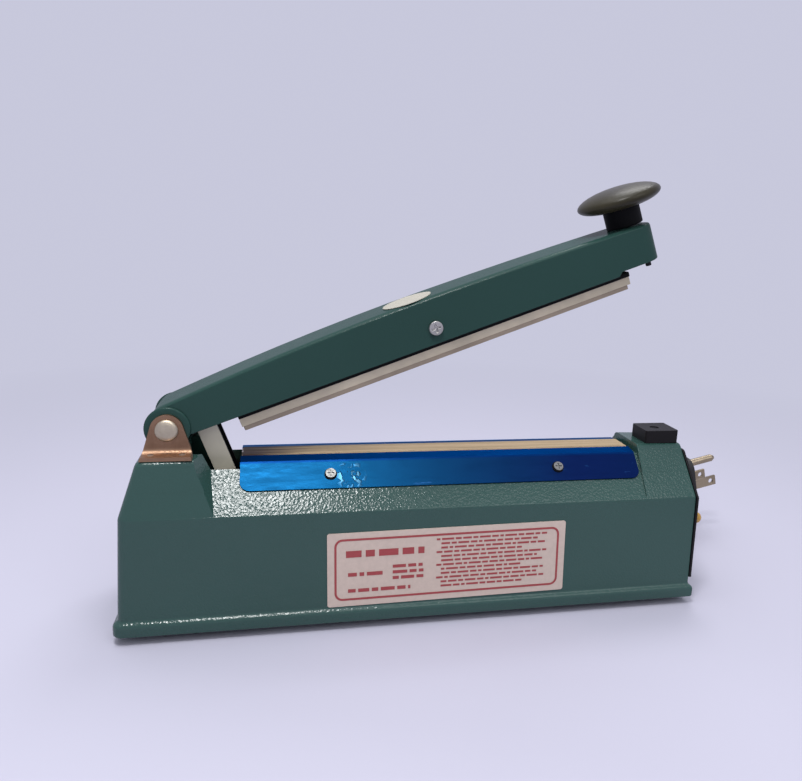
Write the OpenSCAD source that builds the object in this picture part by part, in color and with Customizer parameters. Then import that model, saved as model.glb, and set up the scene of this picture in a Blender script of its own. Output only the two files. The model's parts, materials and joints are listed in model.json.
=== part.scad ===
// Hand-lever bag heat sealer with its jaw open, standing on four feet.
// X runs along the jaw from the hinge to the hand knob, Y to the back, Z up. Millimetres.

/* [Housing] */
// Length of the housing wall above the skirt
body_len = 293.5; // [270:0.5:320]
// Width of the housing wall above the skirt
body_w = 71; // [66:1:84]
// Wall thickness of the cast housing
wall = 2.5; // [2:0.1:3.2]
// Height of the feet below the housing
foot_h = 4; // [2:0.1:4.5]
// Height of the straight skirt band
skirt_h = 4.75; // [3.5:0.25:6]
// Height of the flare above the skirt band
flare_h = 3.25; // [2.5:0.25:4]
// How far the skirt stands out from the wall
skirt_proud = 2; // [1:0.1:3]
// Height of the crease where the walls lean in
crease_z = 60.5; // [56:0.5:64]
// How far the walls draw in between skirt and crease
wall_draft = 2; // [1:0.1:3]
// Height of the hinge tower
tower_top_z = 86; // [84:0.5:89]
// Width of the hinge tower's top
tower_top_w = 54; // [52:0.5:58]
// How far the hinge end leans in above the crease
tower_lean = 8; // [4:0.5:12]
// Height of the switch shoulder at the knob end
shoulder_top_z = 84.5; // [84:0.5:86]
// Width of the switch shoulder's top
shoulder_top_w = 23; // [22:0.5:30]
// Radius of the upright corners
corner_r = 5; // [3:0.5:8]

/* [Jaw recess] */
// Foot of the recess on the hinge side, from the hinge end
recess_start = 44.25; // [41:0.25:46]
// Foot of the recess on the switch side, from the knob end
recess_stop = 28.9; // [28:0.1:29]
// How far the switch side of the recess opens towards its top
recess_lean = 2; // [1:0.1:3]
// How far the hinge side of the recess opens towards its top
recess_flare = 10; // [6:0.5:12]
// Width of the flat land between the sloped facets
land_w = 27.8; // [27:0.2:30]
// Slope of the facets above the level
facet_slope = 45; // [42:0.5:47]

/* [Sealing bar] */
// Start of the sealing bar, from the hinge end
bar_start = 55.75; // [54:0.25:58]
// End of the sealing bar, from the knob end
bar_stop = 29.6; // [29.5:0.1:34]
// Width of the sealing bar's head
bar_w = 14.4; // [13:0.1:16]
// Width of the flat ridge on the sealing bar
ridge_w = 13; // [8:0.5:13]
// Height of the sealing bar's head above the land
bar_head_h = 1.6; // [1.2:0.05:3.3]
// Depth of the sealing bar's stem below the land
bar_stem_h = 10; // [7:0.5:12]
// Width of the heating ribbon
ribbon_w = 2.5; // [1.5:0.25:4]
// Thickness of the heating ribbon
ribbon_t = 0.2; // [0.1:0.05:0.3]
// Thickness of the release cloth
cloth_t = 0.25; // [0.2:0.05:0.4]
// Thickness of the clamp strips
strip_t = 0.8; // [0.6:0.1:1.2]
// Length of the clamp strip's sloped leg
strip_leg = 15.3; // [13:0.1:16]

/* [Handle] */
// Angle of the opened handle
open_angle = 20.6; // [16:0.2:22]
// Height of the hinge axle above the table
pivot_z = 98.6; // [98.2:0.1:99.4]
// Distance of the hinge axle from the hinge end
hinge_in = 22.95; // [21.5:0.05:24]
// Radius of the hinge axle
axle_r = 4; // [3:0.25:4.5]
// Width of the handle
handle_w = 32; // [30:0.5:34]
// How far the closed handle's end stays inside the knob end
handle_in = 8.8; // [8:0.1:9.6]
// Height of the handle's crown above the axle
handle_crown = 16.9; // [15.5:0.1:19]
// Depth of the handle's sides below the axle
handle_drop = 6.5; // [6:0.1:6.8]
// Thickness of the handle's walls
handle_wall = 2; // [1.6:0.1:2.4]
// Diameter of the hand knob
knob_d = 43.5; // [36:0.5:50]
// Height of the hand knob's cap
knob_h = 11; // [8:0.5:13]
// Diameter of the hand knob's neck
neck_d = 19; // [16:0.5:20.5]

/* [Switch and timer] */
// Length of the guide block along the jaw
block_len = 19.5; // [19:0.5:22.5]
// Depth of the guide block
block_w = 17; // [14:0.5:18]
// Radius of the switch plunger
plunger_r = 2.4; // [1.8:0.1:2.6]
// Travel of the switch plunger
plunger_travel = 1.8; // [1.5:0.1:2]
// Diameter of the timer dial
dial_d = 25; // [20:0.5:30]
// Height of the timer dial
dial_h = 7.5; // [6:0.25:9]
// Diameter of the timer's shaft
shaft_d = 6; // [5:0.25:6.5]

/* [Mains lead] */
// Diameter of the mains lead
lead_d = 6.2; // [5.6:0.1:6.4]

/* [Clearances] */
// Radial clearance of turning and sliding fits
run_gap = 0.05; // [0.03:0.01:0.08]
// Clearance between pieces that sit inside one another
seat_gap = 0.3; // [0.2:0.05:0.4]

/* [Hidden] */
$fn = 48;
eps = 0.02;
over = 40;

// Housing outline, worked out from the sizes above
z0 = foot_h;
skirt_z = z0 + skirt_h;
flare_z = skirt_z + flare_h;
wall_hw = body_w/2;
crease_hw = wall_hw - wall_draft;
skirt_hw = wall_hw + skirt_proud;
half_len = body_len/2;
end_x = half_len - 1.25;
recess_left = half_len - recess_start;
recess_right = end_x - recess_stop;
left_crease_x = -half_len + wall_draft;
left_top_x = left_crease_x + tower_lean;
land_hw = land_w/2;
land_z = crease_z + (crease_hw - land_hw)*tan(facet_slope);
wall_angle = atan(wall_draft/(crease_z - flare_z));
cover_t = 1.2;
cover_z = z0 + 1;
floor_z = cover_z + cover_t;
label_up = 19.6;

// Sealing bar, cloth and clamp strips
bar_x0 = -half_len + bar_start;
bar_x1 = end_x - bar_stop;
bar_len = bar_x1 - bar_x0;
bar_top = land_z + bar_head_h;
bar_side_z = bar_top - 1;
bar_stem_hw = bar_w/2 - 1.5;
ribbon_top = bar_top + ribbon_t;
cloth_top = ribbon_top + cloth_t;
cloth_hw = bar_w/2 + ribbon_t + cloth_t;
strip_top = cloth_top - 0.1;
screw_spots = [bar_x0 + 0.207*bar_len, bar_x0 + 0.781*bar_len];

// Handle, drawn level with the axle at its origin and then opened
pivot_x = -half_len + hinge_in;
handle_len = end_x - handle_in - pivot_x;
handle_hw = handle_w/2;
crown_u = 0.537*handle_len;
rear_drop = 5.9;
front_drop = 2.3;
rear_r = 9;
end_lift = 2;
end_lift_u = handle_len - 24;
end_r = 10;
ear_r = 10.5;
ear_t = 1.2;
plate_y = handle_hw + ear_t + seat_gap;
plate_t = 1.8;
bracket_nut_r = 2.1;
bracket_screw_y = tower_top_w/2 - wall - bracket_nut_r - 0.1;
knob_u = handle_len - neck_d/2 - 0.1;
bolt_r = 3;
neck_h = 9.5;
press_u0 = bar_x0 - pivot_x - 2.3;
press_len = bar_len + 5.6;
rubber_len = recess_right + 1.2 - pivot_x - press_u0;
press_hw = 7.5;
press_h = 4.5;
rubber_t = 2.45;
jaw_gap = 0.3;
rubber_low = cloth_top + jaw_gap - pivot_z;
press_low = rubber_low + rubber_t;
press_top = press_low + press_h;
side_screw_u = 0.5206*handle_len;
sticker_u = 0.4913*handle_len;
sticker_r = 12.7;
side_screw_w = 1.5;
lever_u = 14.8;
lever_w = 9.7;
lever_hw = 6;
lever_low = -53;
spring_w = -48;
spring_r = 4.5;
spring_wire = 0.9;
spring_turns = 14;

// Switch, with its hole under the pin at the handle's end
pin_r = 1.5;
pin_u = handle_len - handle_wall - pin_r - 0.1;
switch_x = pivot_x + pin_u;
switch_y = -4;
block_x0 = switch_x - 8.6;
block_y0 = switch_y - block_w/2 + 1;
block_top = pivot_z - handle_drop + end_lift - 2.5;
pin_low = block_top - pivot_z - 1.5;
plunger_top = block_top - 0.4;
plunger_low = shoulder_top_z - wall - 8.5;
block_stem_hx = 7;
block_stem_hy = 5;
block_stem_low = shoulder_top_z - wall - 6.5;
switch_top = plunger_low - plunger_travel - 0.3;

// End panel with the lamp and the timer dial
panel_t = 1.2;
panel_x = end_x + panel_t;
panel_low = flare_z + 3.2;
panel_top = shoulder_top_z - 3;
panel_proud = 0.8;
panel_r = 3.5;
lamp_y = -wall_hw + 8;
lamp_z = 46.4;
lamp_r = 3.1;
lamp_out = 3.7;
dial_y = 3;
dial_z = 38;
pot_r = 8;
bush_r = 4.4;
dial_x = panel_x + 3;
mid_x = (dial_x + dial_h - half_len - skirt_proud)/2;
panel_screws_at = [for (s = [-1, 1]) each
    [[s*(wall_hw - 7.5), 20], [s*(shoulder_top_w/2 - 3.5), shoulder_top_z - 8]]];
window_low = [-22, 24];
window_high = [22, 58];
board_low = [-20, 20];
board_high = [25, 57];
board_back = end_x - 10.6;
relay = [15, 16, 14];
relay_at = [26, 20];
can_len = 12;
can_r = 4;
can_ys = [8, 18];
can_z = 10;
chip = [9, 8, 10];
chip_at = [26, 2];

// Bottom cover and what it carries
boss_at = [for (x = [-half_len + 16.75, end_x - 15.5], s = [-1, 1]) [x, s*(wall_hw - 6)]];
foot_at = [for (x = [-half_len + 34.75, end_x - 33.5], s = [-1, 1]) [x, s*(wall_hw - 11.5)]];
boss_r = 4.5;
foot_r = 7;
foot_toe_r = 6.2;
cover_screw_r = 1.5;
core_x0 = -half_len + 108.75;
core_len = 40;
core_hw = wall_hw - 8.5;
core_h = 45;
core_leg = 9;
core_window = 9;
core_z = floor_z + 1.2;
coil_out = 14;
frame_out = 12;
frame_rivet_r = 3.2;
anchor_x = -half_len + 84.75;
anchor_t = 2;

// Mains lead: gland on the back wall, free stretch, folded hank, tail and plug
gland_x = -half_len + 86.75;
gland_z = 18;
gland_y = wall_hw - (gland_z - flare_z)*tan(wall_angle);
boot_len = 24;
boot_end = gland_y + boot_len;
lead_r = lead_d/2;
hank_x0 = gland_x + 107;
hank_x1 = gland_x + 232;
hank_y = boot_end + 12.8;
hank_in = 19.5;
hank_step = 7.2;
hank_layer = lead_d + 0.6;
hank_waist = 13;
hank_lift = 1.6;
hank_turn = 15.5/24;
hank_end = 3 + 4/24;
rings = 24;
lead_steps = [[0, 6.8, 18], [2, 13.8, 17], [8, 21.8, 15], [17, 27.8, 12], [27, 29.8, 9], [38, 28.3, 6.2],
    [49, 24.3, 4.3], [59, 18.3, 3.4], [68, 11.3, 3.2], [76, 4.3, 3.2], [84, -2.2, 3.2], [91, -7.2, 3.2],
    [97, -10.2, 3.2]];
lead_points = [for (p = lead_steps) [gland_x, boot_end, 0] + p];
tail_points = [[gland_x + 191.4, boot_end + 0.2, 25.3]];
plug_at = [gland_x + 257, boot_end - 0.2, 39.6];
plug_tilt = 13;
plug_face = 11;
plug_back = 20;
plug_boot = 22;
plug_len = plug_face + plug_back + plug_boot;
tie_t = 1;
tie_w = 10;

// Every separate piece, by name

// Places a flat outline, drawn as back and up, along the jaw
module along_x(x0, x1) {
    translate([x0, 0, 0]) rotate([90, 0, 90]) linear_extrude(x1 - x0) children();
}

// Places a flat outline, drawn as along and up, across the jaw
module along_y(y0, y1) {
    translate([0, y1, 0]) rotate([90, 0, 0]) linear_extrude(y1 - y0) children();
}

// A cylinder from one end to the other along each axis
module rod_x(x0, x1, r) { translate([x0, 0, 0]) rotate([0, 90, 0]) cylinder(h = x1 - x0, r = r); }
module rod_y(y0, y1, r) { translate([0, y1, 0]) rotate([90, 0, 0]) cylinder(h = y1 - y0, r = r); }
module rod_z(low, high, r) { translate([0, 0, low]) cylinder(h = high - low, r = r); }

// A box from its lowest to its highest corner
module box(low, high) { translate(low) cube(high - low); }

// A rectangle with round corners, made of squares and circles
module round_rect(low, high, r) {
    translate([low[0] + r, low[1]]) square([high[0] - low[0] - 2*r, high[1] - low[1]]);
    translate([low[0], low[1] + r]) square([high[0] - low[0], high[1] - low[1] - 2*r]);
    for (x = [low[0] + r, high[0] - r], y = [low[1] + r, high[1] - r]) translate([x, y]) circle(r = r);
}

// Shifts children so that the middle of the standing object is at the origin
module placed() { translate([-mid_x, 0, 0]) children(); }

// Puts children on the handle: along it from the axle, across, and up from it
module on_handle() {
    translate([pivot_x, 0, pivot_z]) rotate([0, -open_angle, 0]) children();
}

// Points of an arc, from one angle to another
function arc(at, r, a0, a1, n = 8) =
    [for (i = [0:n]) let (a = a0 + (a1 - a0)*i/n) [at[0] + r*cos(a), at[1] + r*sin(a)]];

// Mirrors half an outline about the upright axis
function both_sides(half) = concat(half, [for (i = [len(half) - 1:-1:0]) [-half[i][0], half[i][1]]]);

// Cross-section of the housing, outside
function lean(top_w, top_z) = atan((crease_hw - top_w/2)/(top_z - crease_z));
function section_out(top_w, top_z, r = 2) = both_sides(concat(
    [[skirt_hw, z0], [skirt_hw, skirt_z], [wall_hw, flare_z], [crease_hw, crease_z]],
    arc([top_w/2 - r, top_z - r], r, lean(top_w, top_z), 90, 5)));

// Cross-section of the housing's hollow
function section_in(top_w, top_z) = both_sides(
    [[wall_hw - wall, z0 - over], [wall_hw - wall, flare_z], [crease_hw - wall, crease_z],
     [top_w/2 - wall, top_z - wall]]);

// Housing seen from the front, outside and hollow
side_out = concat(
    [[end_x + skirt_proud, z0], [end_x + skirt_proud, skirt_z], [end_x, flare_z]],
    arc([end_x - 4, shoulder_top_z - 4], 4, 0, 90, 6),
    [[0, shoulder_top_z], [0, tower_top_z]],
    arc([left_top_x + 3, tower_top_z - 3], 3, 90, 165, 5),
    [[left_crease_x, crease_z], [-half_len, flare_z],
     [-half_len - skirt_proud, skirt_z], [-half_len - skirt_proud, z0]]);
side_in = [[end_x - wall, z0 - over], [end_x - wall, shoulder_top_z], [left_top_x + wall, shoulder_top_z],
    [left_crease_x + wall, crease_z], [-half_len + wall, flare_z], [-half_len + wall, z0 - over]];

// Everything above the two sloped facets, lowered by a depth measured upright
module above_facets(depth) {
    run = over;
    rise = run*tan(facet_slope);
    polygon([[-crease_hw - run, crease_z - rise - depth], [-land_hw, land_z - depth],
        [land_hw, land_z - depth], [crease_hw + run, crease_z - rise - depth],
        [crease_hw + run, over + tower_top_z], [-crease_hw - run, over + tower_top_z]]);
}

// The recess cut out above the facets, grown sideways and down by one wall for the hollow
module recess(grow) {
    opening = recess_flare/(tower_top_z - crease_z);
    lean_out = recess_lean/(shoulder_top_z - crease_z);
    low = crease_z - over;
    high = tower_top_z + over;
    intersection() {
        along_x(-half_len - over, half_len + over) above_facets(grow/cos(facet_slope));
        along_y(-over*2, over*2) polygon([
            [-recess_left - grow - opening*(low - crease_z), low],
            [recess_right + grow + lean_out*(low - crease_z), low],
            [recess_right + grow + lean_out*(high - crease_z), high],
            [-recess_left - grow - opening*(high - crease_z), high]]);
    }
}

module housing() {
    slot_x0 = pivot_x + lever_u - lever_w/2 - 3;
    slot_hw = land_hw + 2.2;
    split = 0;
    color([0.24, 0.34, 0.33]) placed() difference() {
        intersection() {
            union() {
                along_x(-half_len - over, split) polygon(section_out(tower_top_w, tower_top_z));
                along_x(split, half_len + over) polygon(section_out(shoulder_top_w, shoulder_top_z));
            }
            along_y(-over*2, over*2) polygon(side_out);
            linear_extrude(over*4) round_rect([-half_len - skirt_proud, -skirt_hw],
                [end_x + skirt_proud, skirt_hw], corner_r);
        }
        recess(0);
        difference() {
            intersection() {
                union() {
                    along_x(-half_len, split) polygon(section_in(tower_top_w, tower_top_z));
                    along_x(split, half_len) polygon(section_in(shoulder_top_w, shoulder_top_z));
                }
                along_y(-over*2, over*2) polygon(side_in);
            }
            recess(wall);
            for (p = boss_at) translate([p[0], p[1], floor_z]) cylinder(h = over, r = boss_r);
        }
        for (p = boss_at) translate([p[0], p[1], z0]) cylinder(h = over - 6, r = cover_screw_r + run_gap);
        // Opening for the sealing bar's stem
        box([bar_x0 - seat_gap, -bar_stem_hw - seat_gap, crease_z],
            [bar_x1 + seat_gap, bar_stem_hw + seat_gap, land_z + 1]);
        // Slot that the lever swings in
        box([slot_x0, -slot_hw, crease_z + 5], [bar_x0, slot_hw, tower_top_z + over]);
        // Opening for the guide block's stem
        box([switch_x - block_stem_hx - seat_gap, switch_y - block_stem_hy - seat_gap, shoulder_top_z - 2*wall],
            [switch_x + block_stem_hx + seat_gap, switch_y + block_stem_hy + seat_gap, shoulder_top_z + 1]);
        // Window behind the end panel
        box([end_x - 2*wall, window_low[0], window_low[1]], [end_x + 2*wall, window_high[0], window_high[1]]);
        translate([0, lamp_y, lamp_z]) rod_x(end_x - 2*wall, end_x + wall, lamp_r + 1);
        for (p = panel_screws_at) translate([0, p[0], p[1]]) rod_x(end_x - 2*wall, end_x + 1, 1.5);
        // Holes for the bracket's screws and the mains lead
        for (x = [-7, 7], y = [-1, 1]) translate([pivot_x + x, y*bracket_screw_y, 0])
            rod_z(tower_top_z - 2*wall, tower_top_z + 1, 1.5 + seat_gap);
        translate([gland_x, 0, gland_z]) rod_y(gland_y - 2*wall, gland_y + 2, lead_r + 1.5);
    }
}

module bottom_cover() {
    color([0.55, 0.57, 0.58]) placed() difference() {
        translate([0, 0, cover_z]) linear_extrude(cover_t) round_rect(
            [-half_len + wall + seat_gap, -wall_hw + wall + seat_gap],
            [end_x - wall - seat_gap, wall_hw - wall - seat_gap], corner_r - wall + 1);
        for (p = boss_at) translate([p[0], p[1], 0]) rod_z(0, over, cover_screw_r + run_gap);
        for (i = [0:5], y = [-1, 1]) translate([core_x0 + 8 + 12*i, y*16, cover_z - 1]) linear_extrude(wall + 2)
            round_rect([-2, -9], [2, 9], 1.9);
    }
}

module rubber_feet() {
    color([0.07, 0.07, 0.07]) placed() for (p = foot_at) translate([p[0], p[1], 0]) {
        cylinder(h = 1, r1 = foot_toe_r, r2 = foot_r);
        rod_z(1, cover_z, foot_r);
    }
}

module cover_screws() {
    color([0.7, 0.7, 0.68]) placed() for (p = boss_at) translate([p[0], p[1], 0]) difference() {
        union() {
            rod_z(cover_z - 1.6, cover_z, 3);
            rod_z(cover_z, cover_z + 12, cover_screw_r);
        }
        for (a = [0, 90]) rotate(a) box([-2, -0.4, 0], [2, 0.4, cover_z - 0.8]);
    }
}

module end_panel() {
    slant = lean(shoulder_top_w, shoulder_top_z);
    side = shoulder_top_w/2 + panel_proud + (shoulder_top_z - panel_top + panel_r)*tan(slant);
    half = both_sides(concat([[wall_hw + panel_proud - 0.5, panel_low],
        [crease_hw + panel_proud, crease_z]],
        arc([side - panel_r/cos(slant), panel_top - panel_r], panel_r, slant, 90, 5)));
    color([0.07, 0.07, 0.08]) placed() difference() {
        along_x(end_x, panel_x) polygon(half);
        translate([0, dial_y, dial_z]) rod_x(0, over*5, bush_r + run_gap);
        translate([0, lamp_y, lamp_z]) rod_x(0, over*5, lamp_r + 0.4);
        for (p = panel_screws_at) translate([0, p[0], p[1]]) rod_x(0, over*5, 1.5);
    }
}

module panel_screws() {
    color([0.75, 0.75, 0.73]) placed() for (p = panel_screws_at) translate([0, p[0], p[1]]) difference() {
        union() {
            rod_x(panel_x, panel_x + 1.4, 2.8);
            rod_x(end_x - wall, panel_x, 1.5 - run_gap);
        }
        for (a = [0, 90]) rotate([a, 0, 0]) box([panel_x + 0.7, -1.8, -0.35], [panel_x + 2, 1.8, 0.35]);
    }
}

module label_plate() {
    plate_w = 0.4157*body_len;
    plate_h = 37.8;
    color([0.8, 0.76, 0.73]) placed() translate([10.6, -wall_hw - eps, flare_z]) rotate([-wall_angle, 0, 0])
        translate([0, 0, label_up]) rotate([90, 0, 0]) rotate(0.6) linear_extrude(0.4)
            round_rect([-plate_w/2, -plate_h/2], [plate_w/2, plate_h/2], 1.2);
}

// Upright hinge plate with a round head and a foot bent outwards, on the front side
module hinge_bracket() {
    base_z = tower_top_z;
    bend = 3;
    head_r = 7.5;
    foot_y = tower_top_w/2 - 0.5;
    plate = concat([[-11.6, base_z - pivot_z], [11.6, base_z - pivot_z]], arc([0, 0], head_r, 17, 163, 12));
    bend_at = [plate_y + plate_t + bend, base_z + plate_t + bend];
    profile = concat([[plate_y, pivot_z + head_r + 2], [plate_y, bend_at[1]]],
        arc(bend_at, bend + plate_t, 180, 270, 6),
        [[foot_y, base_z], [foot_y, base_z + plate_t]],
        arc(bend_at, bend, 270, 180, 6),
        [[plate_y + plate_t, pivot_z + head_r + 2]]);
    difference() {
        intersection() {
            mirror([0, 1, 0]) along_x(pivot_x - 20, pivot_x + 20) polygon(profile);
            translate([pivot_x, 0, pivot_z]) along_y(-over, 0) polygon(plate);
        }
        translate([pivot_x, 0, pivot_z]) rod_y(-over, 0, axle_r + run_gap);
        for (x = [-7, 7]) translate([pivot_x + x, -bracket_screw_y, 0]) rod_z(0, base_z + bend + plate_t, 1.5);
    }
}

module hinge_bracket_front() { color([0.72, 0.64, 0.57]) placed() hinge_bracket(); }

module hinge_bracket_rear() { color([0.72, 0.64, 0.57]) placed() mirror([0, 1, 0]) hinge_bracket(); }

module bracket_screws() {
    color([0.7, 0.7, 0.68]) placed() for (x = [-7, 7], y = [-1, 1])
        translate([pivot_x + x, y*bracket_screw_y, tower_top_z]) {
            rod_z(-wall, plate_t, 1.5 - run_gap);
            rod_z(-wall - 1.8, -wall, bracket_nut_r);
        }
}

module hinge_axle() {
    out = plate_y + plate_t;
    head = [[0, 0], [5.25, 0], [5.25, 0.5], [4.6, 1.2], [3, 1.75], [0, 2]];
    color([0.8, 0.76, 0.69]) placed() translate([pivot_x, 0, pivot_z]) {
        rod_y(-out, out, axle_r);
        for (s = [-1, 1]) translate([0, s*out, 0]) rotate([-s*90, 0, 0]) rotate_extrude() polygon(head);
    }
}

// Height of the handle's top above the axle at a distance along it
function handle_top(u) = handle_crown - (u < crown_u
    ? rear_drop*pow((crown_u - u)/(crown_u - 4), 2)
    : front_drop*pow((u - crown_u)/(handle_len - crown_u), 2));

// Side outline of the handle, and of its hollow one wall inside it
handle_tops = [for (u = [handle_len - 12:-12:10]) u];
handle_side = concat(
    [for (u = handle_tops) [u, handle_top(u)]],
    arc([1.5, 1.8], rear_r, 80, 200, 8),
    [[-5, -handle_drop], [end_lift_u - 2, -handle_drop], [end_lift_u, -handle_drop + end_lift]],
    [[handle_len, -handle_drop + end_lift]],
    arc([handle_len - 3, handle_top(handle_len) - 3], 3, 0, 90, 4));
handle_hollow = concat(
    [[handle_len - handle_wall, handle_top(handle_len) - handle_wall - 0.1]],
    [for (u = handle_tops) [u, handle_top(u) - handle_wall]],
    arc([1.5, 1.8], rear_r - handle_wall, 80, 200, 8),
    [[-rear_r + 2 + handle_wall, -over], [handle_len - handle_wall, -over]]);

module handle_shell() {
    color([0.22, 0.32, 0.32]) placed() on_handle() difference() {
        union() {
            intersection() {
                along_y(-handle_hw, handle_hw) polygon(handle_side);
                translate([0, 0, -over]) linear_extrude(2*over)
                    round_rect([-over, -handle_hw], [handle_len, handle_hw], end_r);
            }
            rod_y(-handle_hw - ear_t, handle_hw + ear_t, ear_r);
        }
        intersection() {
            along_y(-handle_hw + handle_wall, handle_hw - handle_wall) polygon(handle_hollow);
            translate([0, 0, -over]) linear_extrude(2*over) round_rect([-over, -handle_hw + handle_wall],
                [handle_len - handle_wall, handle_hw - handle_wall], end_r - handle_wall);
        }
        rod_y(-over, over, axle_r + run_gap);
        translate([side_screw_u, 0, side_screw_w]) rod_y(-over, over, 2);
        translate([knob_u, 0, 0]) rod_z(0, over, bolt_r + run_gap);
    }
}

module lever_arm() {
    foot_w = handle_top(lever_u - lever_w/2) - handle_wall - 0.4;
    color([0.62, 0.63, 0.6]) placed() on_handle() difference() {
        box([lever_u - lever_w/2, -lever_hw, lever_low], [lever_u + lever_w/2, lever_hw, foot_w]);
        box([lever_u - lever_w/2 + 1.5, -lever_hw + 1.5, lever_low - 1],
            [lever_u + lever_w/2 + 1, lever_hw - 1.5, foot_w - 2]);
        translate([lever_u, 0, spring_w]) rod_y(-over, over, 1.5);
    }
}

// Close-wound spring from the lever's pin to its anchor, drawn as one ribbed sleeve
spring_a = [pivot_x + lever_u*cos(open_angle) - spring_w*sin(open_angle), 0,
    pivot_z + lever_u*sin(open_angle) + spring_w*cos(open_angle)];
spring_b = [anchor_x, 0, spring_a[2] - 2];
spring_dir = (spring_b - spring_a)/norm(spring_b - spring_a);
spring_span = norm(spring_b - spring_a);
module return_spring() {
    tilt = atan2(spring_b[2] - spring_a[2], spring_b[0] - spring_a[0]);
    steps = 2*spring_turns;
    color([0.7, 0.7, 0.7]) placed() {
        translate(spring_a) rotate([0, -tilt, 0]) {
            rotate([0, 90, 0]) rotate_extrude() polygon(concat(
                [for (i = [0:steps]) [spring_r - (i % 2 == 0 ? 0.4 : 0), 7 + (spring_span - 14)*i/steps]],
                [[spring_r - spring_wire, spring_span - 7], [spring_r - spring_wire, 7]]));
            along_y(-0.6, 0.6) circle(r = 3.1);
            translate([spring_span, 0, 0]) along_y(-0.6, 0.6) difference() {
                circle(r = 3.1);
                circle(r = 1.5 + run_gap);
            }
            rod_x(2.6, 6, 0.6);
            rod_x(spring_span - 6, spring_span - 2.6, 0.6);
            rod_x(5.8, 7.4, spring_r);
            rod_x(spring_span - 7.4, spring_span - 5.8, spring_r);
        }
        translate(spring_a) rod_y(-lever_hw - 1, lever_hw + 1, 1.5 - run_gap);
    }
}

module spring_anchor() {
    color([0.7, 0.7, 0.68]) placed() difference() {
        union() {
            box([anchor_x - anchor_t/2, -6, floor_z], [anchor_x + anchor_t/2, 6, spring_b[2] + 5]);
            box([anchor_x - 9, -6, floor_z], [anchor_x, 6, floor_z + 1.5]);
        }
        translate([0, 0, spring_b[2]]) rod_x(anchor_x - over, anchor_x + over, 3.8);
    }
    color([0.7, 0.7, 0.68]) placed() translate(spring_b) rod_y(-6, 6, 1.5);
}

module pressure_bar() {
    color([0.72, 0.66, 0.58]) placed() on_handle() difference() {
        union() {
            box([press_u0, -press_hw, press_low], [press_u0 + press_len, press_hw, press_top]);
            box([side_screw_u - 16, -6, press_top], [side_screw_u + 16, 6, side_screw_w + 6]);
        }
        translate([side_screw_u, 0, side_screw_w]) rod_y(-over, over, 2);
    }
}

module silicone_strip() {
    color([0.6, 0.54, 0.46]) placed() on_handle()
        box([press_u0 + 0.5, -press_hw + 1, rubber_low],
            [press_u0 + rubber_len, press_hw - 1, press_low]);
}

module handle_screw() {
    color([0.72, 0.72, 0.7]) placed() on_handle() translate([side_screw_u, 0, side_screw_w]) difference() {
        union() {
            rod_y(-handle_hw, handle_hw + 3.5, 2 - run_gap);
            rod_y(-handle_hw - 1.8, -handle_hw, 3.5);
            rod_y(handle_hw, handle_hw + 3, 3.8, $fn = 6);
        }
        for (a = [0, 90]) rotate([0, a, 0]) box([-2.2, -handle_hw - 3, -0.45], [2.2, -handle_hw - 0.8, 0.45]);
    }
}

module hand_knob() {
    seat = handle_top(knob_u - neck_d/2) + eps;
    cap_r = knob_d/2;
    under_w = cap_r - neck_d/2;
    low = seat + neck_h;
    rim = 0.42*knob_h;
    profile = concat([[0, seat], [neck_d/2, seat]],
        [for (i = [0:8]) let (a = 90*i/8) [neck_d/2 + under_w*sin(a), low + rim*(1 - cos(a))]],
        [for (i = [1:8]) let (a = 90*i/8) [cap_r*cos(a), low + rim + (knob_h - rim)*sin(a)]]);
    color([0.05, 0.05, 0.06]) placed() on_handle() translate([knob_u, 0, 0]) difference() {
        rotate_extrude() polygon(profile);
        rod_z(0, low + 2, bolt_r + run_gap);
    }
}

module knob_bolt() {
    under = handle_top(knob_u) - handle_wall - 0.6;
    color([0.7, 0.7, 0.68]) placed() on_handle() translate([knob_u, 0, 0]) {
        rod_z(under - 6, handle_top(knob_u) + neck_h, bolt_r);
        rod_z(under - 5, under, 5.7, $fn = 6);
    }
}

module switch_pin() {
    under = handle_top(handle_len) - handle_wall - 0.2;
    color([0.1, 0.1, 0.1]) placed() on_handle() translate([pin_u, switch_y, 0]) rod_z(pin_low, under, pin_r);
}

module handle_sticker() {
    color([0.88, 0.86, 0.8]) placed() on_handle()
        translate([sticker_u, -2.6, handle_crown + eps]) cylinder(h = 0.25, r = sticker_r);
}

// Outline of the sealing bar's head, grown by the layers that lie on it
function bar_outline(grow) = both_sides([[bar_w/2 + grow, land_z], [bar_w/2 + grow, bar_side_z + grow*0.8],
    [ridge_w/2 + grow*0.2, bar_top + grow]]);

module seal_bar() {
    color([0.35, 0.25, 0.17]) placed() {
        along_x(bar_x0, bar_x1) polygon(bar_outline(0));
        box([bar_x0, -bar_stem_hw, land_z - bar_stem_h], [bar_x1, bar_stem_hw, land_z]);
    }
}

module heating_ribbon() {
    color([0.75, 0.72, 0.68]) placed() {
        box([bar_x0 - ribbon_t, -ribbon_w/2, bar_top], [bar_x1 + ribbon_t, ribbon_w/2, ribbon_top]);
        for (x = [bar_x0 - ribbon_t, bar_x1])
            box([x, -ribbon_w/2, land_z - bar_stem_h - 4], [x + ribbon_t, ribbon_w/2, bar_top]);
    }
}

module release_cloth() {
    color([0.74, 0.6, 0.43]) placed() difference() {
        along_x(bar_x0 + 0.5, bar_x1 - 0.5) polygon(bar_outline(ribbon_t + cloth_t));
        along_x(bar_x0, bar_x1) polygon(bar_outline(ribbon_t));
    }
}

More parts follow.
